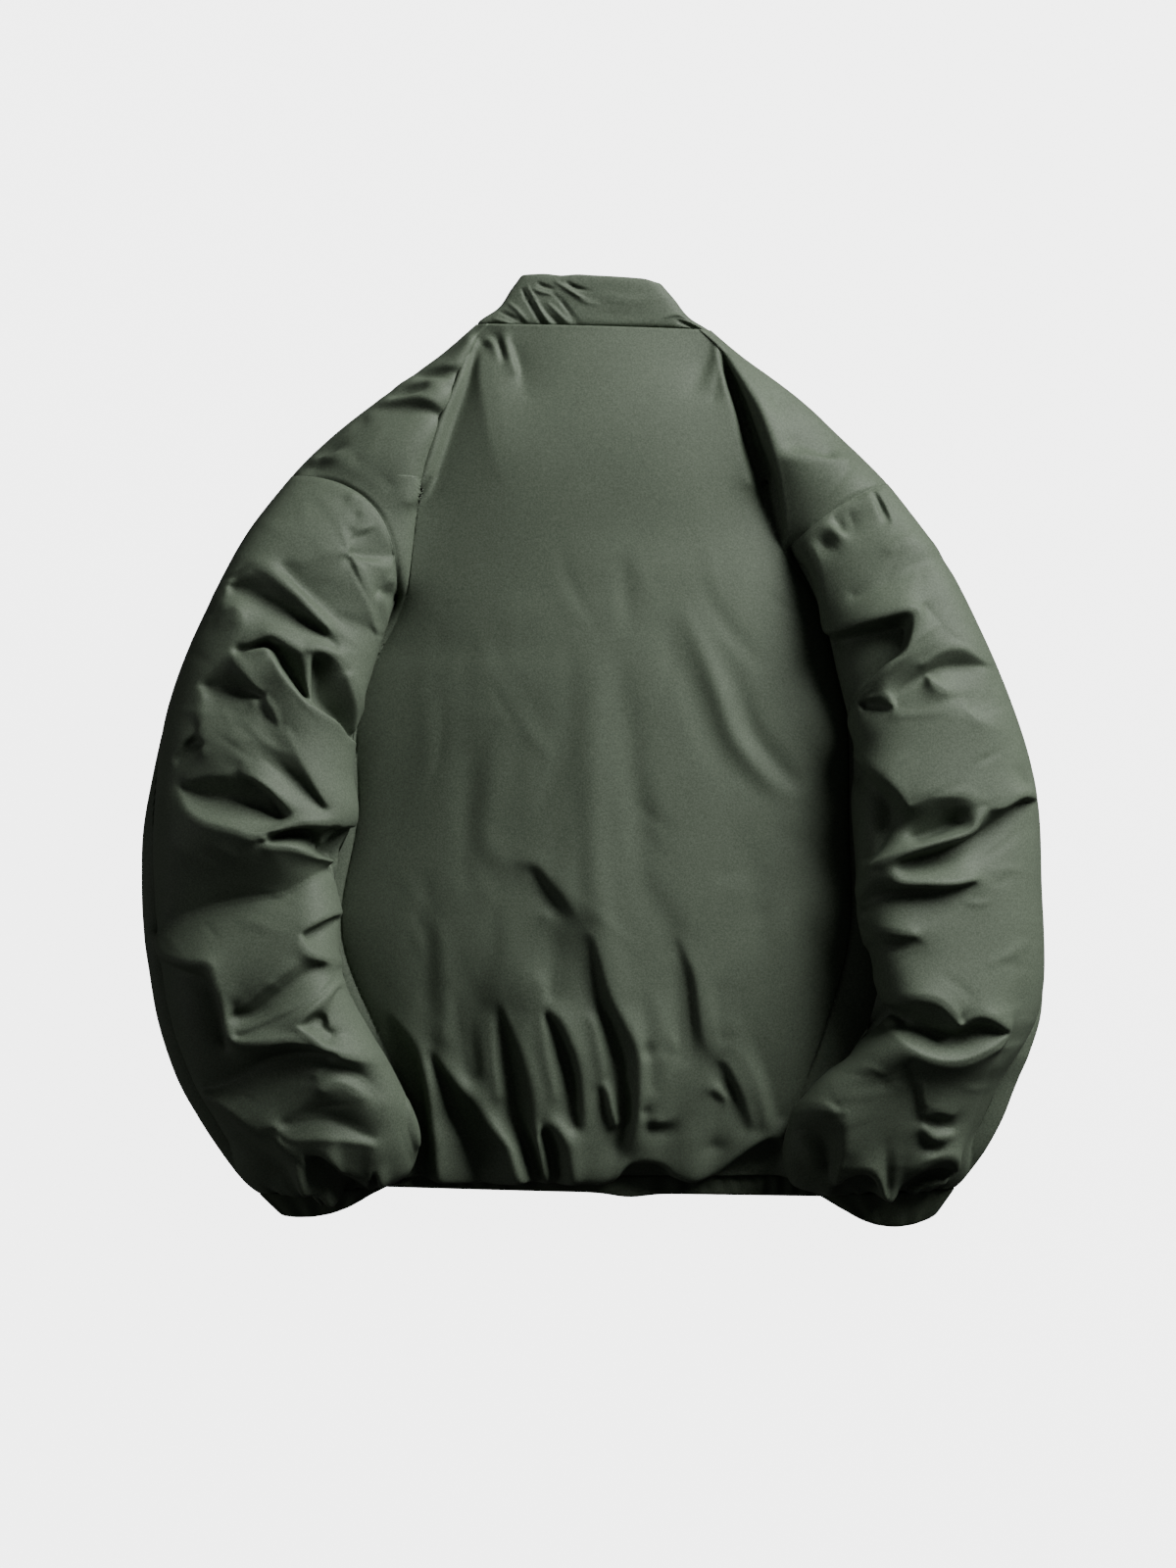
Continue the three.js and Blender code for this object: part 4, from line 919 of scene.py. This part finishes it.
def body_rows(count):
    """Sections of the body at even steps along its edges from hem to neck, cut from a finely divided table.

    The last two columns are the armhole seam's lift and the section's height on the middle line,
    which is its edges' mean height smoothed by a bell.
    """
    low = spline(BODY, np.linspace(0, len(BODY) - 1, 1200))
    share = (1 - np.cos(np.pi * np.linspace(0, 1, 500))) / 2
    w = 1 - share
    middle = mix(SHOULDERS[0], SHOULDERS[1], share[:, None])
    middle[:, LEFT_X], middle[:, LEFT_Y] = armhole("left", w)
    middle[:, RIGHT_X], middle[:, RIGHT_Y] = armhole("right", w)
    middle[:, LEFT_FOLD] = np.maximum(middle[:, LEFT_FOLD], middle[:, LEFT_X] + FOLD_IN)
    middle[:, RIGHT_FOLD] = np.minimum(middle[:, RIGHT_FOLD], middle[:, RIGHT_X] - FOLD_IN)
    middle[:, MID_EDGE] = sleeve_mid(SLEEVES["left"][:1], w)[0]
    middle[:, LOFT_EDGE] = SLEEVES["left"][0, RISE] * crown(w) + EDGE
    above = SHOULDERS.copy()
    above[0, [LEFT_X, LEFT_Y, RIGHT_X, RIGHT_Y]] = *SLEEVES["left"][1, :2], *SLEEVES["right"][1, :2]
    high = spline(above, np.linspace(1, len(above) - 1, 500)[1:])
    held = np.concatenate([0 * low[:, :1], seam_lift(w)[:, None], 0 * high[:, :1]])
    rows = np.concatenate([np.concatenate([low, middle, high]), held], axis=1)
    run = 0
    for k in (LEFT_X, RIGHT_X):
        steps = np.hypot(*np.diff(rows[:, k : k + 2], axis=0).T)
        run = run + np.concatenate([[0], np.cumsum(steps)]) / steps.sum() / 2
    even = np.linspace(0, 1, count)
    columns = np.stack([np.interp(even, run, column) for column in rows.T], axis=1)
    height = columns[:, [LEFT_Y, RIGHT_Y]].mean(axis=1)
    slope = mix(height[0], height[-1], even)
    reach = count // 8
    off = bell_mean(height - slope, reach, reach / 2, mode="reflect", reflect_type="odd")
    return np.concatenate([columns, (slope + off)[:, None]], axis=1)


def side_columns(y, height):
    """The columns of the body's sections at y, up the side whose own y is the column height.

    From the underarm to near the neck they are smoothed by a bell.
    """
    sections = np.concatenate([BODY, SHOULDERS])
    sections[len(BODY), MID_EDGE] = SHOULDERS[1, MID_EDGE]
    table = spline(sections, np.linspace(0, len(sections) - 1, 1600))
    level = np.arange(-340, 346.0)
    upper = smooth((level - 60) / 40) * (1 - smooth((level - 285) / 40))
    out = []
    for column in table.T:
        column = np.interp(level, np.maximum.accumulate(table[:, height]), column)
        eased = bell_mean(column, 45, 18, mode="edge")
        out.append(np.interp(y, level, mix(column, eased, upper)))
    return out


def body_height(x, y):
    """Heights of the parting surface and of the back's shell at x, y, which run smoothly past the armholes."""
    turn = smooth((x + 70) / 140)
    columns = [mix(a, b, turn) for a, b in zip(side_columns(y, LEFT_Y), side_columns(y, RIGHT_Y))]
    start_left, _, left_fold, right_fold, start_right = columns[:5]
    mid_edge, mid_fold, mid_centre, _, loft_fold, side_arch, centre_arch = columns[MID_EDGE:]
    hump = np.sin(np.pi * np.clip((x - left_fold) / (right_fold - left_fold), 0, 1))
    start = np.where(x < 0, start_left, start_right)
    fold = np.where(x < 0, left_fold, right_fold)
    at = np.clip((x - start) / (fold - start), 0, 1)
    mid = mix(mid_edge, mix(mid_fold, mid_centre, hump), smooth(at))
    return mid, mid + mix(EDGE, loft_fold, smooth(at)) + side_arch * dome(at) + centre_arch * hump**0.7


def body_grid(rows, q):
    """Grid of the body: x, y, its parting surface, which meets the seams at its edges, and the back's shell."""
    left_x, left_y, left_fold, right_fold, right_x, right_y = (rows[:, k : k + 1] for k in range(6))
    x = mix(left_x, right_x, q)
    y = mix(left_y, right_y, q)
    hump = np.sin(np.pi * np.clip((x - left_fold) / (right_fold - left_fold), 0, 1))
    y = y + (rows[:, LEVEL, None] - (left_y + right_y) / 2) * hump**1.5
    mid, top = body_height(x, y)
    for edge, fold in ((left_x, left_fold), (right_x, right_fold)):
        at_edge = body_height(edge, left_y if edge is left_x else right_y)[0]
        mid = mid + (rows[:, MID_EDGE, None] - at_edge) * (1 - smooth((x - edge) / (fold - edge)))
    return x, y, mid, top


def read_off(field, x, y, across, up):
    """A field on a square grid with the coordinates across and up, read at x, y between its points."""
    j, i = (x - across[0]) / (across[1] - across[0]), (y - up[0]) / (up[1] - up[0])
    j0, i0 = np.clip(j.astype(int), 0, len(across) - 2), np.clip(i.astype(int), 0, len(up) - 2)
    j, i = j - j0, i - i0
    return mix(mix(field[i0, j0], field[i0, j0 + 1], j), mix(field[i0 + 1, j0], field[i0 + 1, j0 + 1], j), i)


def body_fields(x, y, rows, folds):
    """How far the back is drawn to its seams' heights, and its lift, at x, y.

    Both are worked out on a square grid in plan, where whatever lies beyond the back's edges is
    pinned to the nearest edge's height at its own level.
    """
    across, up = np.arange(-304, 305, 1.6), np.arange(-336, 344, 1.6)
    plan_x, plan_y = np.meshgrid(across, up)
    edges = LEFT_X, RIGHT_X
    off = [rows[:, MID_EDGE] + rows[:, LOFT_EDGE] - body_height(rows[:, k], rows[:, k + 1])[1] for k in edges]
    sides = [
        [np.interp(plan_y, rows[:, k + 1], column) for column in (rows[:, k], rows[:, SEAM_LIFT], gap)]
        for k, gap in zip(edges, off)
    ]
    beyond = PINNED * ((plan_x < sides[0][0]) | (plan_x > sides[1][0]))
    held, drawn = (np.where(plan_x < 0, sides[0][n], sides[1][n]) for n in (1, 2))
    held[[0, -1]] = 0
    hold, pull = creases(plan_x, plan_y, folds)
    plan = np.stack([plan_x, plan_y, 0 * plan_x], axis=-1)
    ease = relax(plan, beyond, beyond * drawn, 0, 16, 300, drawn)
    lift = blur(taut(plan, hold, pull, puff=0.004, slack=40, rounds=500, held=held, pins=beyond), 1)
    ease, lift = read_off(ease, x, y, across, up), read_off(lift, x, y, across, up)
    for n in (0, -1):
        ease[:, n] = off[n]
        lift[:, n] = rows[:, SEAM_LIFT]
    lift[[0, -1]] = 0
    return ease, lift


def back_panel(count=340, columns=282):
    """The back: its loft, its creases, small soft folds strewn over its middle and the hem's roll."""
    rows = body_rows(count)
    q = np.linspace(0, 1, columns)
    q = mix(q, (1 - np.cos(np.pi * q)) / 2, 0.12)
    x, y, mid, top = body_grid(rows, q)
    ease, lift = body_fields(x, y, rows, FOLDS["back"] + FOLDS["shoulders"])
    shell = np.stack([x, y, np.maximum(top + ease, mid + EDGE)], axis=-1)
    lift += swells(x, y, FOLDS["swells"])
    box = (-190, 200, -290, 140)
    small = strewn(SEEDS["back"], 90, box, source=(-50, 300), size=(16, 60, 4, 9), lift=0.55)
    lift += swells(x, y, small)
    groove = np.maximum(seam_groove(x, y, "left"), seam_groove(x, y, "right"))
    shell = raised(shell, lift, groove, depth=1.8)
    shell = rolled(shell, HEM_ROLL, end=0, width=7)
    shell[..., 2] = np.maximum(shell[..., 2], mid + EDGE)
    x, y, mid, _ = body_grid(body_rows(50), np.linspace(0, 1, 40))
    return padded_panel("back_shell", shell, lining_of(x, y, mid, 1))


def round_up(t):
    """A quarter circle from 0 to 1."""
    return np.sqrt(np.maximum(0, 1 - (1 - np.clip(t, 0, 1)) ** 2))


def neck_drop(x):
    """How much lower the front neckline lies than the back one: a parabola across the neck."""
    return NECK_DROP * np.maximum(0, 1 - (x / NECK_HALF) ** 2)


def front_panel(side):
    """One front, under the back: flat where it rests, with soft hollows, and rounded up to its seams."""
    sign = -1 if side == "left" else 1

    def layer(count, columns):
        """Its grid in plan, the columns shared out from the side to the zip, and its parting surface."""
        rows = body_rows(count)
        edge = rows[:, LEFT_X if side == "left" else RIGHT_X, None]
        full_x = mix(edge, sign * ZIP_EDGE, columns)
        q = (full_x - rows[:, LEFT_X, None]) / (rows[:, RIGHT_X, None] - rows[:, LEFT_X, None])
        x, y, mid, _ = body_grid(rows, q)
        y = y - smooth((rows[:, LEVEL, None] - 170) / 167) * neck_drop(x)
        return rows, edge, x, y, mid

    rows, edge, x, y, mid = layer(190, np.linspace(0, 1, 84) ** 1.5)
    side_rise = (rows[:, MID_EDGE, None] - EDGE) * (1 - round_up(np.abs(x - edge) / 30))
    zip_rise = 8.5 * (1 - round_up((np.abs(x) - ZIP_EDGE) / 16))
    under = np.maximum(side_rise, zip_rise)
    under[[0, -1]] = np.maximum(under[[0, -1]], 2.2)
    creased = strewn(
        SEEDS["fronts"], 60, box=(-230, 230, -290, 250), source=(0, 420), size=(20, 70, 4, 9), lift=2.6
    )
    gathered = strewn(
        SEEDS["hem"], 46, box=(-230, 230, -330, -285), source=(0, 900), size=(18, 42, 4, 7), lift=3.4
    )
    inside = smooth((np.abs(x) - ZIP_EDGE - 8) / 20) * smooth((np.abs(edge) - np.abs(x) - 6) / 20)
    under = under + np.maximum(swells(x, y, np.concatenate([creased, gathered])), 0) * inside
    shell = np.stack([x, y, np.minimum(under, mid - HOLLOW - 3)], axis=-1)
    _, _, x, y, mid = layer(50, np.linspace(0, 1, 22))
    return padded_panel(f"front_{side}_shell", shell, lining_of(x, y, mid, -1, seams=(0,)))


# ---- Collar, hem casing and cuffs ----


def power(t, p):
    """Signed power, which squares a circle off towards a flat oval."""
    return np.sign(t) * np.abs(t) ** p


def oblong(loop, tall):
    """Loop points at even steps round a rounded oblong: o across it and t up it, from 0 to 1.

    It is tall times as high as it is thick.
    """
    curve = lambda phi: ((1 + power(np.cos(phi), 0.45)) / 2, (1 + power(np.sin(phi), 0.3)) / 2)
    o, t = curve(2 * np.pi * np.linspace(0, 1, 4001))
    o, t = curve(2 * np.pi * even_steps(o, tall * t, loop + 1)[:-1])
    return o[None, :], t[None, :]


def wall_ring(name, place, angles, loop, tall, outer, inner, closed, ripple=None):
    """A strip bent round a flattened ring, its wall's section an oblong of loop points.

    s and f are the squared-off sine and cosine round the ring, and h and z its half width and half
    depth, mixed across the wall from inner(t) to outer(t). place(s, f, h, z, t) puts the points.
    """
    o, t = oblong(loop, tall)
    s = -power(np.sin(angles), 0.7)[:, None]
    f = -power(np.cos(angles), 0.45)[:, None]
    (h0, z0), (h1, z1) = inner(t), outer(t)
    bulge = ripple(angles[:, None], t) if ripple else 0
    h = mix(h0, h1 + bulge, o)
    z = mix(z0, z1 + bulge, o)
    points = place(s + 0 * t, f + 0 * t, h, z, t)
    n = len(angles)
    quads = grid_quads(n, loop, wrap_rows=closed, wrap_columns=True)
    points = points.reshape(-1, 3)
    tris = np.zeros((0, 3), int)
    if not closed:
        ends = points.reshape(n, loop, 3)[[0, -1]].mean(axis=1)
        points = np.concatenate([points, ends])
        tris = end_caps(n, loop)
    return put_mesh(name, points, quads, tris)


def open_angles(half, opening, count):
    """Angles round a ring that leaves a gap of twice opening at the middle of its underside."""
    first = np.arcsin((opening / half) ** (1 / 0.7))
    return np.linspace(first, 2 * np.pi - first, count)


def collar():
    """Stand collar: a ring that narrows from the neck seam to its uneven top edge, with small creases."""
    halves = np.array([[95.5], [76.0], [65.8], [56.5]])  # half widths from the neck seam to the top
    half_at = lambda t: spline(halves, t * 3)[..., 0]

    def place(s, f, h, z, t):
        """Up from the neck seam, which lies lower at the front's ends, the back leaning in."""
        lean = mix(0, -2, t)
        x = mix(2.5, -1, t) + s * h
        low = neck_drop(s * h * NECK_HALF / half_at(t)) * 0.965 * smooth((-f - 0.7) / 0.25)
        base = NECK_SEAM - 1.8 * s + SEAM - 5 * smooth((s - 0.8) / 0.2)
        top = NECK_SEAM + COLLAR_HEIGHT - 2.2 * s - 1.3 * s**2 - 2 * smooth((s - 0.75) / 0.25)
        top = top + 0.9 * np.sin(9 * s + 2.4) * np.exp(-(((s + 0.45) / 0.3) ** 2))
        y = mix(base, top, t) - low
        return np.stack([x, y, 12.9 + f * z + np.where(f > 0, lean, 0)], axis=-1)

    def creased(*where):
        """The ring with its creases dented into the upper side."""
        points = place(*where)
        upper = smooth((points[..., 2] - 14) / 6)
        points[..., 2] += dents(points[..., 0], points[..., 1], FOLDS["collar"]) * upper
        return points

    outer = lambda t: (half_at(t), 11.4 + 0 * t)
    inner = lambda t: (half_at(t) - 10.5, HOLLOW + 0 * t)
    angles = open_angles(halves[0, 0], 11.5, 320)
    return wall_ring("collar_shell", creased, angles, 96, 4.3, outer, inner, closed=False)


def hem_casing():
    """The elastic casing of the hem: a low ring, gathered into small upright ribs."""
    low = BAND_TOP - 4 - HOLLOW  # height of the surface between its two sides

    def place(s, f, h, z, t):
        """Raised over the zip on the back side and beside it on the front side, the lower edge dipping once."""
        x = 1.5 + s * h
        over_zip = (16 - low) * np.cos(s * np.pi / 2) ** 1.5
        beside_zip = 6.5 * (1 - round_up((np.abs(x) - ZIP_EDGE) / 16))
        hem = BAND_BOTTOM - 0.022 * x - 3 * np.exp(-(((x - 29) / 18) ** 2))
        y = mix(-332.7 - 1.5 * s, hem, t)
        return np.stack([x, y, low + f * z + np.where(f > 0, over_zip, beside_zip)], axis=-1)

    ripple = lambda a, t: 0.7 * np.sin(a * 92 + 1.5 * np.sin(a * 9)) * (0.4 + 0.6 * np.sin(np.pi * t))
    half = 228
    outer = lambda t: (half + 0 * t, 5 + 0 * t)
    inner = lambda t: (half - 4 + 0 * t, HOLLOW + 0 * t)
    angles = open_angles(half, ZIP_EDGE + 1, 1100)
    return wall_ring("hem_casing", place, angles, 24, 2.6, outer, inner, closed=False, ripple=ripple)


def cuff(side):
    """One cuff's elastic casing, gathered like the hem."""
    seam, end = SLEEVES[side][-1, :7], CUFF_ENDS[side]

    def place(s, f, h, z, t):
        """Across the sleeve's last section and down to the open end, round their parting surface."""
        row = mix(seam[:, None, None], end[:, None, None], np.broadcast_to(t, s.shape))
        across = row[2:4] - row[0:2]
        half = np.hypot(across[0], across[1]) / 2
        w = (1 + s * np.sign(seam[0]) * h / half) / 2
        unit = across / (2 * half)
        offset = bow(w.clip(0, 1)) * row[BOW] * np.sign(seam[0])
        x = row[0] + w * across[0] + unit[1] * offset
        y = row[1] + w * across[1] - unit[0] * offset - SEAM
        return np.stack([x, y, mix(row[MID_OUTER], row[MID_INNER], w) + f * z], axis=-1)

    def half_at(t):
        """Half the cuff's width at t, from the sleeve to the open end."""
        row = mix(seam[:, None, None], end[:, None, None], t)
        return np.hypot(row[2] - row[0], row[3] - row[1])[0] / 2

    ripple = lambda a, t: 0.8 * np.sin(a * 15 + 1.6 * np.sin(a * 4)) * (0.3 + 0.7 * t)
    outer = lambda t: (half_at(t), 5.6 + 0 * t)
    inner = lambda t: (half_at(t) - 4.6, HOLLOW + 0 * t)
    angles = np.linspace(0, 2 * np.pi, 420, endpoint=False)
    return wall_ring(f"cuff_{side}_casing", place, angles, 32, 3, outer, inner, closed=True, ripple=ripple)


# ---- Zip ----


def boxes(low, high):
    """Points and quads of closed boxes from their low and high corners, each with a row for each box."""
    corner = np.array([[i, j, k] for i in (0, 1) for j in (0, 1) for k in (0, 1)])
    points = low[:, None] + corner * (high - low)[:, None]
    faces = np.array([[0, 1, 3, 2], [4, 6, 7, 5], [0, 4, 5, 1], [2, 3, 7, 6], [0, 2, 6, 4], [1, 5, 7, 3]])
    return points.reshape(-1, 3), (faces + 8 * np.arange(len(low))[:, None, None]).reshape(-1, 4)


def zip_teeth():
    """Closed teeth: small blocks up the front, turn about from the left and the right tape, on a thin core."""
    y = np.arange(ZIP_LOW, ZIP_HIGH - 1, 1.5)
    odd = np.arange(len(y)) % 2
    low = np.stack([-2.9 + 2 * odd, y, 11.3 + 0 * y], axis=1)
    high = low + [3.8, 1.15, 2.8]
    core = np.array([[-1.2, ZIP_LOW, 12.2]])
    core_top = core + [2.4, ZIP_HIGH - ZIP_LOW, 0.9]
    points, quads = boxes(np.concatenate([low, core]), np.concatenate([high, core_top]))
    return put_mesh("zip_teeth", points, quads, [])


def zip_tape(side):
    """One tape: a thin strip beside the teeth, its faces waving a little along it, its section an oblong."""
    sign = -1 if side == "left" else 1
    runs, loop = 420, 24
    o, t = oblong(loop, 7)
    y = np.linspace(ZIP_LOW - 6, ZIP_HIGH + 4, runs)[:, None]
    wave = 0.12 * np.sin(y / 9 + 2 * np.sin(y / 37))
    x = sign * (3.3 + 6.3 * t)
    z = 12.3 + 0.75 * o + wave * (1 - t)
    points = np.stack(np.broadcast_arrays(x, y, z), axis=-1)
    quads = grid_quads(runs, loop, wrap_columns=True)
    points = np.concatenate([points.reshape(-1, 3), points[[0, -1]].mean(axis=1)])
    return put_mesh(f"zip_tape_{side}_strip", points, quads, end_caps(runs, loop))


# ---- Finish: materials ----


def node_group(name, inputs, outputs):
    """An empty shader group with float or colour sockets."""
    group = bpy.data.node_groups.new(name, "ShaderNodeTree")
    for label, kind, value in inputs:
        socket = group.interface.new_socket(label, in_out="INPUT", socket_type=kind)
        socket.default_value = value
    for label, kind in outputs:
        group.interface.new_socket(label, in_out="OUTPUT", socket_type=kind)
    return group, group.nodes.new("NodeGroupInput"), group.nodes.new("NodeGroupOutput")


def weave_group():
    """Fine plain weave: its grain as a height, and as a mask 2.3 grain - 1.05 + 0.8 drift."""
    group, given, out = node_group(
        "fine_weave",
        [("Grain", "NodeSocketFloat", 1400.0), ("Drift", "NodeSocketFloat", 9.0)],
        [("Height", "NodeSocketFloat"), ("Shade", "NodeSocketFloat")],
    )
    link = group.links.new
    where = group.nodes.new("ShaderNodeTexCoord")
    grain = group.nodes.new("ShaderNodeTexNoise")
    grain.inputs["Detail"].default_value = 3
    grain.inputs["Roughness"].default_value = 0.7
    drift = group.nodes.new("ShaderNodeTexNoise")
    drift.inputs["Detail"].default_value = 4
    link(where.outputs["Object"], grain.inputs["Vector"])
    link(where.outputs["Object"], drift.inputs["Vector"])
    link(given.outputs["Grain"], grain.inputs["Scale"])
    link(given.outputs["Drift"], drift.inputs["Scale"])
    fine = group.nodes.new("ShaderNodeMath")
    both = group.nodes.new("ShaderNodeMath")
    fine.operation = both.operation = "MULTIPLY_ADD"
    fine.inputs[1].default_value = 2.3
    fine.inputs[2].default_value = -1.05
    both.inputs[1].default_value = 0.8
    link(grain.outputs["Fac"], fine.inputs[0])
    link(drift.outputs["Fac"], both.inputs[0])
    link(fine.outputs[0], both.inputs[2])
    link(grain.outputs["Fac"], out.inputs["Height"])
    link(both.outputs[0], out.inputs["Shade"])
    return group


WEAVE = weave_group()


def cloth_material(name, dark, light, roughness, grain, bump):
    """Woven shell fabric: two close shades mixed by the weave's grain and drift, with a faint bump."""
    material = bpy.data.materials.new(name)
    material.use_nodes = True
    nodes, link = material.node_tree.nodes, material.node_tree.links.new
    shader = nodes["Principled BSDF"]
    weave = nodes.new("ShaderNodeGroup")
    weave.node_tree = WEAVE
    weave.inputs["Grain"].default_value = grain
    blend = nodes.new("ShaderNodeMix")
    blend.data_type = "RGBA"
    blend.inputs["A"].default_value = (*dark, 1)
    blend.inputs["B"].default_value = (*light, 1)
    height = nodes.new("ShaderNodeBump")
    height.inputs["Strength"].default_value = bump
    height.inputs["Distance"].default_value = 0.0004
    link(weave.outputs["Shade"], blend.inputs["Factor"])
    link(blend.outputs["Result"], shader.inputs["Base Color"])
    link(weave.outputs["Height"], height.inputs["Height"])
    link(height.outputs["Normal"], shader.inputs["Normal"])
    shader.inputs["Roughness"].default_value = roughness
    shader.inputs["Specular IOR Level"].default_value = 0.22
    return material


def rgb(r, g, b):
    """Linear colour from display values of 10 to 255."""
    return tuple(((v / 255 + 0.055) / 1.055) ** 2.4 for v in (r, g, b))


SHELL = cloth_material("olive_shell", rgb(68, 77, 64), rgb(95, 105, 90), 0.62, 700, 0.25)
# The casings' cloth is the shell's olive made darker: painted shade for the hem and cuff casings, which lie in the
# shadow under the padded roll
SHADED_CASING = cloth_material("olive_casing_painted_shade", rgb(56, 64, 52), rgb(78, 88, 72), 0.6, 800, 0.3)
TAPE = cloth_material("zip_tape", rgb(40, 46, 38), rgb(60, 66, 56), 0.8, 2400, 0.6)
METAL = cloth_material("dark_metal", rgb(36, 38, 36), rgb(58, 60, 57), 0.38, 900, 0.1)
METAL.node_tree.nodes["Principled BSDF"].inputs["Metallic"].default_value = 0.85


def dress(piece, material, slot, *nodes):
    """Gives a piece its material, the solids it stands for and the body it rides on; slot is not used."""
    piece.data.materials.append(material)
    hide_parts(*nodes)
    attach(piece, "jacket")
    return piece


# ---- The jacket ----

back = dress(back_panel(), SHELL, "shell", "back")
for side in ("left", "right"):
    upper, under = sleeve(side)
    dress(upper, SHELL, "shell", f"sleeve_back_{side}")
    dress(under, SHELL, "shell", f"sleeve_front_{side}")
    dress(front_panel(side), SHELL, "shell", f"front_{side}")
    dress(cuff(side), SHADED_CASING, "band", f"cuff_{side}")
    dress(zip_tape(side), TAPE, "tape", f"zip_tape_{side}")
dress(collar(), SHELL, "shell", "collar")
dress(hem_casing(), SHADED_CASING, "band", "hem_band")
dress(zip_teeth(), METAL, "zip_metal", "zip_chain")

# The three hard pieces keep their CAD shapes
for node in ("zip_box", "zip_slider", "zip_pull"):
    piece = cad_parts[node]
    piece.data.materials.clear()
    piece.data.materials.append(METAL)


# ---- Floor, light and camera ----


def floor():
    """A wide plain floor at the height that the jacket lies on, which glows but casts no light on it."""
    mesh = bpy.data.meshes.new("floor")
    mesh.from_pydata([(-40, -40, 0), (40, -40, 0), (40, 40, 0), (-40, 40, 0)], [], [(0, 1, 2, 3)])
    piece = bpy.data.objects.new("floor", mesh)
    bpy.context.scene.collection.objects.link(piece)
    material = bpy.data.materials.new("pale_floor")
    material.use_nodes = True
    shader = material.node_tree.nodes["Principled BSDF"]
    shader.inputs["Base Color"].default_value = (0.2, 0.2, 0.2, 1)
    shader.inputs["Roughness"].default_value = 0.9
    shader.inputs["Specular IOR Level"].default_value = 0.1
    shader.inputs["Emission Color"].default_value = (1, 1, 1, 1)
    shader.inputs["Emission Strength"].default_value = 4.6
    mesh.materials.append(material)
    piece.visible_diffuse = False
    piece.visible_glossy = False


def soft_light(name, azimuth, elevation, distance, size, power_w):
    """A square soft light aimed at the jacket's middle.

    Azimuth and elevation are in degrees, azimuth from +X towards +Y, distance and size in metres.
    """
    data = bpy.data.lights.new(name, "AREA")
    data.shape = "SQUARE"
    data.size = size
    data.energy = power_w
    lamp = bpy.data.objects.new(name, data)
    a, e = math.radians(azimuth), math.radians(elevation)
    level = distance * math.cos(e)
    lamp.location = (level * math.cos(a), level * math.sin(a), distance * math.sin(e))
    lamp.rotation_euler = (math.pi / 2 - e, 0, a + math.pi / 2)
    bpy.context.scene.collection.objects.link(lamp)


floor()
soft_light("key", azimuth=48, elevation=25, distance=3.2, size=1.9, power_w=216)
soft_light("fill", azimuth=190, elevation=14, distance=3.5, size=0.9, power_w=9)


def studio():
    """A dim white room, which the camera sees as pale as the floor."""
    world = bpy.data.worlds.new("studio")
    world.use_nodes = True
    nodes, link = world.node_tree.nodes, world.node_tree.links.new
    seen = nodes.new("ShaderNodeBackground")
    for node, strength in ((nodes["Background"], 0.042), (seen, 4.7)):
        node.inputs["Color"].default_value = (1, 1, 1, 1)
        node.inputs["Strength"].default_value = strength
    ray = nodes.new("ShaderNodeLightPath")
    either = nodes.new("ShaderNodeMixShader")
    link(ray.outputs["Is Camera Ray"], either.inputs["Fac"])
    link(nodes["Background"].outputs["Background"], either.inputs[1])
    link(seen.outputs["Background"], either.inputs[2])
    link(either.outputs["Shader"], nodes["World Output"].inputs["Surface"])
    bpy.context.scene.world = world


studio()

# The camera looks straight down, which is how a new one points
camera = bpy.data.objects.new("camera", bpy.data.cameras.new("camera"))
camera.data.lens = 85
camera.data.sensor_width = 36
camera.location = (-0.0034, -0.0234, 2.952)
bpy.context.scene.collection.objects.link(camera)
bpy.context.scene.camera = camera
